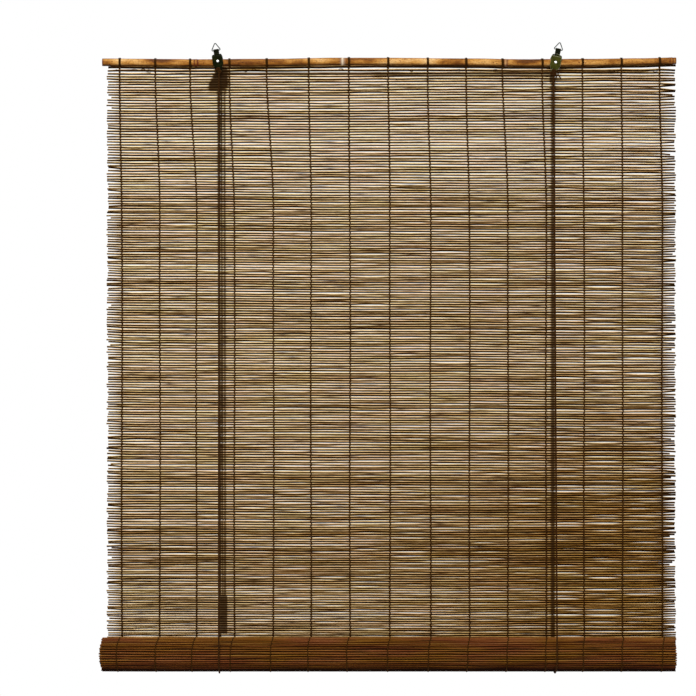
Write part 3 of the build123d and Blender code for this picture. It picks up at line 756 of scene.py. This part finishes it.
def reed_radius(xs, base, left, right, seed, tip):
    """Thick in the middle, and tapered to a thinner tip at each end."""
    r = random.Random(seed)
    tips = [tip + 0.12 * r.random(), tip + 0.12 * r.random()]
    out = []
    for x in xs:
        a = tips[0] + (1 - tips[0]) * ease((x - left) / TAPER_LENGTH)
        b = tips[1] + (1 - tips[1]) * ease((right - x) / TAPER_LENGTH)
        wave = 1 + 0.025 * math.sin(x * 0.021 + seed) + 0.012 * math.sin(x * 0.09 + seed * 2)
        out.append(base * min(a, b) * wave)
    return np.array(out)


JOINT_DARK, JOINT_HALF = 0.8, 7.0


def joints_of(xs, seed):
    """Where along a reed its dark joints lie, as a value at each point."""
    r = random.Random(seed)
    places = []
    x = -460 + r.uniform(0, 200)
    while x < 460:
        places.append(x)
        x += r.uniform(120, 230)
    return [JOINT_DARK * max([0.0] + [1 - abs(x - p) / JOINT_HALF for p in places]) for x in xs]


# The first two reeds lie along the pole: each one's share in its bends, rise, thickness, and the painted
# shade that darkens it under the pole
POLE_REEDS = ((1.0, 1.0, 1.14, 0.24), (0.5, 0.3, 1.12, 0.16))
PLAIN_REED = (0.0, 0.0, 1.0, 0.0)
REED_BASE, REED_SQUEEZE = 0.487, 0.85
TONE, TONE_SPREAD = 0.43, 0.055
LEFT_FADE, RIGHT_FADE, FADE_LENGTH = 0.34, 0.44, 24.0

halves = [Build(), Build()]
phase = 0.0
above = None
for i, z0 in enumerate(rows):
    loose = 0.16 + 0.06 * (1 - ease((i - 9) / 4.0))
    left = MAT_LEFT + rng.uniform(-1.6, 1.9)
    right = MAT_RIGHT + rng.uniform(-1.9, 1.0)
    if rng.random() < 0.05:
        right -= rng.uniform(3, 9)
    if rng.random() < 0.04:
        left += rng.uniform(2, 7)
    held, xs = stations(z0, left, right)
    sway, rise = bowed(held, xs, loose)
    follow, higher, thicker, darker = POLE_REEDS[i] if i < len(POLE_REEDS) else PLAIN_REED

    # The reed's height and thickness
    low = ease((-z0 - 450) / 350.0)
    side = np.array([ease((x + 100) / 500.0) for x in xs])
    base = rng.gauss(REED_BASE, 0.012) * pitch(z0) * (0.95 + 0.05 * ease((-z0 - 170) / 60))
    radius = reed_radius(xs, base, left, right, i, 0.66) * (1 + 0.02 * low + 0.055 * low * side)
    phase += rng.gauss(0, 0.35)
    slope = np.array([tilt(x, z0) for x in xs])
    wave = 0.3 * np.sin(xs * 0.008 + phase) + 0.2 * np.sin(xs * 0.021 - phase)
    zs = z0 + rng.gauss(0, 0.08) + rise + slope + wave
    if follow:
        under = np.array([pole_lift(x) + POLE_R - pole_girth(x) for x in xs])
        zs = zs + follow * under - slope + higher
    shade = np.array([shade_at(x, z) for x, z in zip(xs, zs)])
    wider = 0.26 if -50 < z0 < -16 else 0.13
    radius = radius * (1 + wider * shade) * thicker

    # Its tone and browning: a wide gap above it makes it lighter with painted light, and a narrow one
    # darkens it with painted shade; it is also browner away from its left end, more so to the right and
    # towards the bottom
    tones = rng.gauss(TONE, TONE_SPREAD) + 0.02 * low
    middle = np.array([ease((x + 330) / 200.0) for x in xs])
    stain = 0.06 * middle + 0.17 * side + 0.30 * low + 0.18 * low * side
    if above is not None:
        gap = np.interp(xs, above[0], above[1]) - (zs + radius)
        tones = tones + 0.19 * np.clip(gap - 0.15, -0.7, 0.9)
        stain = stain + 0.65 * np.clip(0.15 - gap, 0, 0.7)
    for end, fade in ((xs - left, LEFT_FADE), (right - xs, RIGHT_FADE)):
        faded = tones - fade * np.clip(1.2 - end / FADE_LENGTH, 0, 1)
        tones = np.where(end < FADE_LENGTH, faded, tones)
    above = (xs, zs - radius)
    halves[0 if i < len(rows) // 2 else 1].tube(
        np.stack([xs, sway, zs], axis=-1),
        radius,
        squeeze=REED_SQUEEZE,
        tone=tones - darker,
        joint=joints_of(xs, i * 7 + 1),
        shade=shade,
        stain=np.clip(stain, 0, 1),
    )

reeds_upper = halves[0].make("reeds_upper", REED, "blind", slot="reed")
reeds_lower = halves[1].make("reeds_lower", REED, "blind", slot="reed")
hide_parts("reed_mat")
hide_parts("reed_mat")

SQUASHED = [reeds_upper, reeds_lower]


# Warp threads: two strands that pass in front of the reeds and behind them by turns
WARP_START, WARP_R, WARP_NUDGE = -7.4, 1.04, 0.52
for number in WARPS:
    b = Build()
    for strand in (0, 1):
        nudge = WARP_NUDGE if strand else -WARP_NUDGE
        path = [(warp_x(number, WARP_START), -0.9 if strand else 0.9, WARP_START)]
        for k, row in enumerate(rows):
            back = -1 if (k + strand) % 2 else 1
            x = warp_x(number, row)
            z = row + tilt(x, row)
            path.append((x + nudge, back * 1.5, z + 1.1))
            path.append((x + nudge * 1.3, back * 2.1, z))
            path.append((x + nudge, back * 1.5, z - 1.1))
        path.append((warp_x(number, ROLL_Z), 0.2, ROLL_Z + 0.6))
        b.tube(path, WARP_R, 6)
    piece = b.make("warp_twine_%02d" % (number + 1), THREAD, "blind", slot="warp_thread")
    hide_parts("warp_thread_%02d" % (number + 1))
    SQUASHED.append(piece)

# Lashings: each warp's ends are wound round the pole and knotted below it
LASH_TURNS, LASH_STEPS, LASH_R = 3, 20, 0.70
KNOT_POINTS, KNOT_R = 34, 0.55
lash = Build()
for number in WARPS:
    x0 = warp_x(number, MAT_TOP)
    path = []
    for i in range(LASH_TURNS * LASH_STEPS + 1):
        a = i * 2 * math.pi / LASH_STEPS
        r = pole_girth(x0) + 0.55 + (0.12 if i % 3 else 0)
        x = x0 - 0.55 * LASH_TURNS + 1.15 * i / LASH_STEPS + 0.15 * math.sin(a * 1.7 + number)
        path.append((x, r * math.sin(a), pole_lift(x0) - r * math.cos(a)))
    lash.tube(path, LASH_R, 6)
    knot = []
    for i in range(KNOT_POINTS):
        a = i * math.pi / 6
        x = x0 + 1.2 * math.cos(a) + rng.uniform(-0.1, 0.1)
        knot.append((x, -0.8 + 1.5 * math.sin(a), -7.3 - i * 0.05 + 0.5 * math.sin(a * 2 + number)))
    lash.tube(knot, KNOT_R, 6)
lash.make("pole_lashings", THREAD, "blind", slot="warp_thread")

# Curled tails of the cut threads: column and row in the photograph, size, and the side they curl to
CURLED_TAILS = (
    (146.5, 69.5, 4.2, 1),
    (143.5, 70.5, 3.4, -1),
    (340.5, 70.2, 4.0, 1),
    (412.0, 71.0, 3.2, -1),
    (458.5, 70.6, 3.0, 1),
    (494.8, 70.8, 3.6, 1),
    (612.0, 72.6, 4.6, -1),
    (615.8, 72.0, 3.0, 1),
    (654.6, 71.4, 3.4, 1),
)
# Long wavy tails: first and last column, first and last row
WAVY_TAILS = ((116.0, 151.0, 69.6, 71.6), (244.0, 262.0, 71.4, 69.4))
tails = Build()
for px, py, size, flip in CURLED_TAILS:
    path = []
    for q in np.linspace(0, 1, 26):
        a = 0.4 + q * 7.4
        r = size * (1 - 0.72 * q)
        x = px_x(px) + flip * (r * math.cos(a) * 1.25 + 2.4 * q)
        path.append((x, -2.3 - 0.8 * math.sin(a * 1.3), px_z(py) + r * 0.62 * math.sin(a)))
    tails.tube(path, 0.40, 5)
for px_start, px_end, py_start, py_end in WAVY_TAILS:
    path = []
    for q in np.linspace(0, 1, 40):
        px = px_start + (px_end - px_start) * q
        py = py_start + (py_end - py_start) * q + 0.9 * math.sin(q * 8.5) + 0.35 * math.sin(q * 21)
        path.append((px_x(px), -2.7 - 0.3 * math.sin(q * 13), px_z(py)))
    tails.tube(path, 0.42, 5)
tails.make("warp_thread_tails", THREAD, "blind", slot="warp_thread")


# Canes: the place of each node, and how dark its grooves and how pale its ring are
POLE_NODES = (
    (px_x(196.3), 1.0, 0.0),
    (px_x(342.5), 0.35, 0.9),
    (px_x(505.6), 0.75, 0.15),
    (px_x(671.5), 0.8, 0.0),
)
ROD_NODES = ((-250, 0.8, 0.2), (10, 0.7, 0.2), (280, 0.8, 0.1))
ROD_R = 5.6
CANE_SIDES = 32
# How dark each ring of a cut end is, outermost first: the wall a little, and the hollow more, with painted
# shade
HOLLOW_SHADE = (0.5, 0.4, 0.6, 0.9, 1.0, 1.0)


def bell(d, width):
    """A hump that is 1 at its middle."""
    return math.exp(-((d / width) ** 2))


def cane(builder, xs, centre_of, girth, nodes_at, seed):
    """A cane with a ring and grooves at each node, its own tone between them, and hollow ends."""
    r = random.Random(seed)
    path, radii, tone, joint, pale = [], [], [], [], []
    parts = [r.uniform(-0.06, 0.1) for _ in range(12)]
    for x in xs:
        radius = girth(x) + 0.06 * math.sin(x * 0.05) + 0.05 * math.sin(x * 0.13 + 1)
        dark, light = 0.8 * bell(POLE_HALF - abs(x), 1.7), 0.0
        for centre, groove, ring in nodes_at:
            d = x - centre
            radius += 0.34 * bell(d, 1.6) - 0.10 * bell(d - 2.3, 1.0) + 0.16 * bell(d + 3.4, 1.6)
            dark = max(dark, groove * bell(d - 2.2, 1.5), groove * 0.9 * bell(d + 2.6, 1.4))
            light = max(light, ring * bell(d - 0.2, 2.6))
        if abs(abs(x) - POLE_HALF) < 0.3:
            radius -= 0.35
        segment = sum(x > n[0] for n in nodes_at)
        path.append(centre_of(x))
        radii.append(radius)
        tone.append(0.58 + parts[segment] + 0.07 * math.sin(x * 0.017 + 2) + 0.05 * math.sin(x * 0.043))
        joint.append(dark)
        pale.append(light)
    builder.tube(path, radii, CANE_SIDES, caps=False, tone=tone, joint=joint, pale=pale)

    # The cut ends: a wall, and the dark hollow that it holds, darkened deeper in with painted shade
    for x, inward in ((xs[0], 1), (xs[-1], -1)):
        cx, cy, cz = centre_of(x)
        rim = girth(x)
        rings = ((rim - 0.35, 0), (rim - 0.9, -0.12), (2.5, 0.05), (2.2, 0.6), (1.9, 14.0), (0.0, 15.0))
        verts, uvs, faces = [], [], []
        for out, depth in rings:
            for k in range(CANE_SIDES):
                a = k * 2 * math.pi / CANE_SIDES
                verts.append((cx + inward * depth, cy + out * math.cos(a), cz + out * math.sin(a)))
                uvs.append((k / CANE_SIDES, out * MM))
        for i in range(len(rings) - 1):
            first, second = i * CANE_SIDES, (i + 1) * CANE_SIDES
            for k in range(CANE_SIDES):
                j = (k + 1) % CANE_SIDES
                quad = (first + k, first + j, second + j, second + k)
                faces.append(quad if inward < 0 else quad[::-1])
        dark = np.repeat(HOLLOW_SHADE, CANE_SIDES)
        builder.add(np.array(verts), faces, np.array(uvs), tone=0.35, joint=dark, pale=0.0)


pole_xs = set(np.round(np.arange(-POLE_HALF, POLE_HALF + 0.1, 3.0), 2).tolist())
pole_xs |= {POLE_HALF, 0.5 - POLE_HALF, POLE_HALF - 0.5}
for centre, _, _ in POLE_NODES:
    pole_xs |= set(np.round(np.arange(centre - 5.2, centre + 5.3, 0.4), 2).tolist())
pole_xs = sorted(x for x in pole_xs if abs(x) <= POLE_HALF)
pole = Build()
cane(pole, pole_xs, lambda x: (x, 0.0, pole_lift(x)), pole_girth, POLE_NODES, 4)
pole_piece = pole.make("bamboo_head_pole", BAMBOO, "blind", slot="bamboo")
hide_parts("head_pole")


# Roll: a spiral of reeds round the rod, in full detail where its outer turns are seen
TURN_PITCH, WALL_MID = 2.76, 27.01
ROLL_TURNS, SEEN_TURNS, REED_STEP = 7.2, 1.45, 3.92


def roll_radius(a):
    """The spiral's radius after it has turned by a."""
    return WALL_MID - TURN_PITCH * a / (2 * math.pi)


outer, inner = Build(), Build()
turned = 0.0
reed_number = 0
outer_reeds = []
while turned < ROLL_TURNS * 2 * math.pi:
    rho = roll_radius(turned)
    cy = ROLL_Y + rho * math.cos(turned)
    cz = ROLL_Z - rho * math.sin(turned)
    turn = turned / (2 * math.pi)
    left = -452.0 - 4.62 * ease(turn / 6.5) + rng.uniform(-1.0, 1.3)
    right = 450.6 - 2.0 * ease(turn / 5.0) + rng.uniform(-1.3, 0.9)
    if turn < 0.9:
        left += 1.3 * math.cos(turned)
        right += 0.9 * math.cos(turned + 0.6)
    base = min(1.34, max(1.1, rng.gauss(1.27, 0.06)))
    wave = rng.uniform(0, 6.28)
    # Reeds that pass under the roll are darkened, which is painted shade
    tone = rng.gauss(0.51, 0.20) - 1.2 * max(0.0, math.sin(turned)) ** 6
    seen = turn < SEEN_TURNS
    count, bow = (52, 0.30) if seen else (3, 0.05)
    xs = np.concatenate([
        np.linspace(left, left + 6, 3),
        np.linspace(left + 8, right - 8, count),
        np.linspace(right - 6, right, 3),
    ])
    points = []
    for x in xs:
        d = bow * math.sin(x * 0.023 + wave) + bow * 0.7 * math.sin(x * 0.061 + wave * 2)
        points.append((x, cy + d * math.sin(turned), cz + d * math.cos(turned)))
    if seen:
        outer_reeds.append(turned)
        radii = reed_radius(xs, base, left, right, reed_number + 500, 0.86)
        outer.tube(points, radii, tone=tone, joint=joints_of(xs, reed_number * 5 + 3))
    else:
        inner.tube(points, base, 7, tone=tone, joint=0.0)
    turned += REED_STEP / rho
    reed_number += 1
roll_outer = outer.make("roll_outer_reeds", ROLL_REED, "roll", slot="reed")
roll_inner = inner.make("roll_inner_reeds", ROLL_REED, "roll", slot="reed")
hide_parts("reed_roll")
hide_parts("reed_roll")

# The warps' twine on the roll: each strand goes over a reed and under the next one
TWINE_R, TWINE_NUDGE, TWINE_UNDER = 0.93, 0.33, 1.05
TWINE_OVER = ((-0.039, 0.95), (0.0, 1.22), (0.039, 0.95))
roll_twine = Build()
for number in WARPS:
    x0 = px_x(WARP_LOW_PX[number]) - 4.6 + 0.6 * math.sin(number * 1.9)
    for strand in (0, 1):
        nudge = TWINE_NUDGE if strand else -TWINE_NUDGE
        path = []
        for k, turned in enumerate(outer_reeds):
            for step, over in TWINE_OVER:
                a = turned + step
                reach = roll_radius(a) + (over if (k + strand) % 2 else -TWINE_UNDER)
                drift = 4.0 * ease((a - 3.4) / 1.3) + 0.5 * math.sin(a * 1.3 + number)
                x = x0 + nudge + drift
                path.append((x, ROLL_Y + reach * math.cos(a), ROLL_Z - reach * math.sin(a)))
        roll_twine.tube(path, TWINE_R, 6)
roll_twine.make("roll_twine", THREAD, "roll", slot="warp_thread")

rod_xs = set(np.round(np.arange(-452.5, 451.0, 12.0), 2).tolist()) | {451.0, -452.0, 450.5}
rod = Build()
cane(rod, sorted(rod_xs), lambda x: (x, ROLL_Y, ROLL_Z), lambda x: ROD_R, ROD_NODES, 9)
rod_piece = rod.make("bamboo_bottom_rod", BAMBOO, "roll", slot="bamboo")
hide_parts("bottom_rod")


# Held cords
LIFT_Y, CROSS_Y, TAIL_Y, TAIL_Z = 10.1, 13.6, 16.1, -41.0
WHEEL_L, WHEEL_R, WHEEL_Z, WRAP = -265.2, 253.7, -23.1, 5.0
LOCK_Z, LOCK_SHIFT = -38.6, 0.8
LOOP_R = 29.56
EYE_L, EYE_R = (-269.31, -12.53), (260.07, -15.53)
SLING_L, SLING_R = (-267.8, 0.0), (260.6, math.radians(3.5))
FRONT_Y = -9.1
FRONT_R = 1.3


def tangent(y, z, side):
    """The angle at which a straight run from a point meets the loop round the roll."""
    along, up = y - ROLL_Y, z - ROLL_Z
    return math.atan2(up, along) + side * math.acos(LOOP_R / math.hypot(along, up))


def sling_point(place, a):
    """A point of the loop, which is turned a little about the vertical."""
    x, turn = place
    out = LOOP_R * math.cos(a)
    return (x - out * math.sin(turn), ROLL_Y + out * math.cos(turn), ROLL_Z + LOOP_R * math.sin(a))


def line(a, b, count):
    """Points in a straight line from a to b."""
    return [tuple(p) for p in np.linspace(a, b, count)]


def bend(a, b, c, r, steps=8):
    """An arc of radius r round corner b."""
    a, b, c = (np.array(p, float) for p in (a, b, c))
    u, v = (a - b) / np.linalg.norm(a - b), (c - b) / np.linalg.norm(c - b)
    half = math.acos(np.clip(u @ v, -1, 1)) / 2
    d = r / math.tan(half)
    centre = b + (u + v) / np.linalg.norm(u + v) * r / math.sin(half)
    first, last = b + u * d - centre, b + v * d - centre
    total = math.acos(np.clip(first @ last / (r * r), -1, 1))
    out = []
    for k in range(steps + 1):
        q = k / steps
        p = (math.sin((1 - q) * total) * first + math.sin(q * total) * last) / math.sin(total)
        out.append(tuple(centre + p))
    return out


def cord_piece(name, path, body="blind", radius=CORD_R):
    """One run of a lift cord."""
    b = Build()
    b.tube(path, radius, 12)
    return b.make(name, CORD, body, slot="cord")


def to_lock(x, y, z, r):
    """A cord's run down from its wheel and back into the lock."""
    tail = (x - LOCK_SHIFT, TAIL_Y, TAIL_Z)
    return bend((x, y, z), (x, y, LOCK_Z), tail, r) + [tail]


for side, eye, sling_x, back_x in (
    ("left", EYE_L, SLING_L, WHEEL_L - WRAP),
    ("right", EYE_R, SLING_R, WHEEL_R + WRAP),
):
    a_front = tangent(FRONT_Y, eye[1], 1)
    end = sling_point(sling_x, a_front)
    start, corner = (eye[0], -5.6, eye[1]), (eye[0], FRONT_Y, eye[1])
    arc = bend(start, corner, end, 2.2)
    path = [start] + arc + line(arc[-1], end, 24)[1:]
    strand = cord_piece("front_lift_cord_" + side, path, radius=FRONT_R)
    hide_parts("lift_cord_%s_front" % side)
    SQUASHED.append(strand)

    b = Build()
    knot = []
    for i in range(40):
        a = i * math.pi / 6
        x, y = eye[0] + 1.25 * math.cos(a), -4.75 + 0.75 * math.sin(a * 0.5 + 0.6)
        knot.append((x, y, eye[1] + 1.25 * math.sin(a)))
    b.tube(knot, 0.85)
    b.make("lift_cord_knot_" + side, CORD, "blind", slot="cord")

    a_back = tangent(LIFT_Y, WHEEL_Z, -1)
    path = line(sling_point(sling_x, a_back), (back_x, LIFT_Y, WHEEL_Z - 0.3), 26)
    strand = cord_piece("back_lift_cord_" + side, path)
    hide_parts("lift_cord_%s_back" % side)
    SQUASHED.append(strand)

    turns = np.linspace(a_back - 0.006, a_front - 2 * math.pi + 0.006, 60)
    loop = cord_piece("roll_sling_" + side, [sling_point(sling_x, a) for a in turns], "slings")
    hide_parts("sling_" + side)

# The cords' ends tied off in front of the brackets' feet: place and size of each turn, and the loose ends
END_TURNS = (
    (-270.6, -10.6, 2.6), (-268.4, -14.6, 2.3),
    (260.2, -13.6, 2.2), (257.4, -17.0, 2.8), (261.6, -18.4, 2.4),
)
LOOSE_ENDS = (
    (
        (261.0, -8.9, -13.0), (264.6, -9.6, -14.6), (266.4, -9.8, -17.2),
        (267.4, -9.6, -21.0), (269.6, -9.4, -24.2), (272.2, -9.4, -27.4),
    ),
    ((261.0, -8.9, -15.0), (263.6, -9.8, -18.4), (264.6, -9.8, -22.0), (263.8, -9.6, -25.6)),
    ((-270.0, -9.0, -12.4), (-274.0, -9.8, -12.0), (-275.6, -9.8, -14.4), (-274.4, -9.8, -17.0)),
)
knots = Build()
for x, z, size in END_TURNS:
    path = []
    for i in range(30):
        a = i * math.pi / 6
        y = -9.9 + 0.9 * math.sin(a * 0.5)
        path.append((x + size * math.cos(a), y, z + size * 0.62 * math.sin(a) - i * 0.07))
    knots.tube(path, 0.95)
for path in LOOSE_ENDS:
    fine = []
    for a, b in zip(np.array(path), np.array(path[1:])):
        fine += [tuple(a + (b - a) * q) for q in (0.0, 0.34, 0.67)]
    knots.tube(fine + [path[-1]], 1.0)
knots.make("lift_cord_ends", CORD, "blind", slot="cord")

# The left lift cord over its wheel, and the right one's run across to the left side
over = []
for a in np.linspace(0, math.pi, 20):
    over.append((WHEEL_L - WRAP * math.cos(a), LIFT_Y, WHEEL_Z + WRAP * math.sin(a)))
over += to_lock(WHEEL_L + WRAP, LIFT_Y, -30, 3.0)
piece = cord_piece("left_lift_cord_over_wheel", over)
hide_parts("lift_cord_left_end")

x, top = WHEEL_L - WRAP, WHEEL_Z + WRAP
route = [(WHEEL_R + WRAP, LIFT_Y, WHEEL_Z)]
route += bend(route[0], (WHEEL_R + WRAP, LIFT_Y, top), (x, CROSS_Y, top), 4.9)
arc = bend((WHEEL_R, LIFT_Y, top), (x, CROSS_Y, top), (x, CROSS_Y, LOCK_Z), 5.0)
route += line(route[-1], arc[0], 20)[1:-1] + arc
route += to_lock(x, CROSS_Y, -24, 1.5)
piece = cord_piece("cross_lift_cord", route)
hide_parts("cross_cord")


# Brackets and small metal parts
def bevelled(name, source, width, main, edge, body):
    """A piece from the CAD node's own faces, with worn, rounded edges."""
    mesh = nodes[source].data.copy()
    mesh.name = name
    mesh.materials.clear()
    bm = bmesh.new()
    bm.from_mesh(mesh)
    bmesh.ops.remove_doubles(bm, verts=bm.verts, dist=2e-6)
    bmesh.ops.dissolve_limit(bm, angle_limit=math.radians(1.5), verts=bm.verts, edges=bm.edges)
    for f in bm.faces:
        f.smooth = True
        f.material_index = 0
    bm.to_mesh(mesh)
    bm.free()
    mesh.materials.append(main)
    mesh.materials.append(edge)
    obj = new_object(name, mesh)
    mod = obj.modifiers.new("bevel", "BEVEL")
    mod.width = width * MM
    mod.segments = 2
    mod.limit_method = "ANGLE"
    mod.angle_limit = math.radians(32)
    mod.harden_normals = True
    mod.material = 1
    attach(obj, body)
    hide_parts(source)


for side, paint, edge in (("left", PAINT_LEFT, WORN_DARK), ("right", PAINT_RIGHT, WORN)):
    bevelled("painted_bracket_" + side, "bracket_" + side, 0.22, paint, edge, "blind")
    # The housings behind the plates take the left bracket's near black paint on both sides; on the right
    # one this is painted shade
    housing = "pulley_housing_" + side
    bevelled("painted_housing_" + side, housing, 0.16, PAINT_LEFT, WORN_DARK, "blind")

# Half of a rivet, from its front: places along it with its radius there
RIVET_HALF = (
    (-8.95, 0.3), (-8.9, 0.9), (-8.7, 1.5), (-8.3, 2.0),
    (-7.85, 2.35), (-7.55, 2.42), (-7.5, 2.2), (-7.48, 1.5),
)
profile = (*RIVET_HALF, (0.0, 1.5), *((-y, r) for y, r in reversed(RIVET_HALF)))
for side, x, z in (("left", -271.5, 1.3), ("right", 263.4, -0.5)):
    b = Build()
    b.tube([(x, y, z) for y, _ in profile], [r for _, r in profile], 28)
    piece = b.make("domed_rivet_" + side, BRIGHT, "blind", slot="bright_rivet")
    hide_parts("rivet_" + side)

for mat, names in (
    (WIRE, ("ring_left", "ring_right")),
    (STEEL, ("axle_left", "axle_right", "lock_pin")),
    (MOULDED, ("wheel_left_lift", "wheel_left_cross", "wheel_right", "lock_cam_lift", "lock_cam_cross")),
):
    for name in names:
        nodes[name].data.materials.clear()
        nodes[name].data.materials.append(mat)


# Each piece that hangs from the pole gets a mesh of its own
for piece in SQUASHED:
    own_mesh(piece)


# Stage and light
FLOOR_HALF, FLOOR_Z = 2.4, -1.35
FLOOR_COLOR = (0.74, 0.73, 0.71)
corners = [(x * FLOOR_HALF, y * FLOOR_HALF, FLOOR_Z) for x, y in ((-1, -1), (1, -1), (1, 1), (-1, 1))]
floor_mesh = bpy.data.meshes.new("floor")
floor_mesh.from_pydata(corners, [], [(0, 1, 2, 3)])
floor_material, t, s = material("floor")
cloud = noise(t, (2, 2, 2))
surface(t, s, ramp(t, cloud, [(0.3, FLOOR_COLOR), (0.7, tuple(c * 1.01 for c in FLOOR_COLOR))]), 0.9)
floor_mesh.materials.append(floor_material)
new_object("floor", floor_mesh)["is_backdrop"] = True


def lamp(name, at, aim, size, power, color=WHITE):
    """A round lamp that points at a place."""
    data = bpy.data.lights.new(name, "AREA")
    data.shape = "DISK"
    data.size = size
    data.energy = power
    data.color = color
    obj = new_object(name, data)
    obj.location = at
    obj.rotation_euler = (Vector(aim) - Vector(at)).to_track_quat("-Z", "Y").to_euler()


lamp("key", (-1.1, -2.8, 2.0), (0, 0, -0.35), 1.6, 85, (1.0, 0.97, 0.92))
lamp("fill", (1.8, -3.0, 0.4), (0, 0, -0.5), 2.2, 20)
lamp("back", (0.9, 3.0, 1.2), (0, 0, -0.45), 2.2, 30)

# World: a soft sky lights the blind, and is white where it is seen, mirrored or looked through
SKY = [(0.3, (0.22, 0.21, 0.19)), (0.5, (0.75, 0.73, 0.70)), (0.75, (1.0, 0.98, 0.94))]
world = bpy.data.worlds.new("studio")
bpy.context.scene.world = world
world.use_nodes = True
wt = world.node_tree
wt.nodes.clear()
out = node(wt, "ShaderNodeOutputWorld")
lit = node(wt, "ShaderNodeBackground")
seen = node(wt, "ShaderNodeBackground")
mixer = node(wt, "ShaderNodeMixShader")
rays = node(wt, "ShaderNodeLightPath").outputs
split = node(wt, "ShaderNodeSeparateXYZ")
wt.links.new(node(wt, "ShaderNodeTexCoord").outputs["Generated"], split.inputs[0])
feed(wt, lit.inputs[0], ramp(wt, scaled(wt, split.outputs[2], 0.5, 0.5), SKY))
feed(wt, lit.inputs[1], 0.62)
feed(wt, seen.inputs[0], WHITE)
feed(wt, seen.inputs[1], 1.0)
direct = maths(wt, "MAXIMUM", rays["Is Camera Ray"], rays["Is Transmission Ray"])
feed(wt, mixer.inputs[0], maths(wt, "MAXIMUM", direct, rays["Is Glossy Ray"]))
feed(wt, mixer.inputs[1], lit.outputs[0])
feed(wt, mixer.inputs[2], seen.outputs[0])
feed(wt, out.inputs[0], mixer.outputs[0])

bpy.context.scene.view_settings.view_transform = "Standard"

low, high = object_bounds()
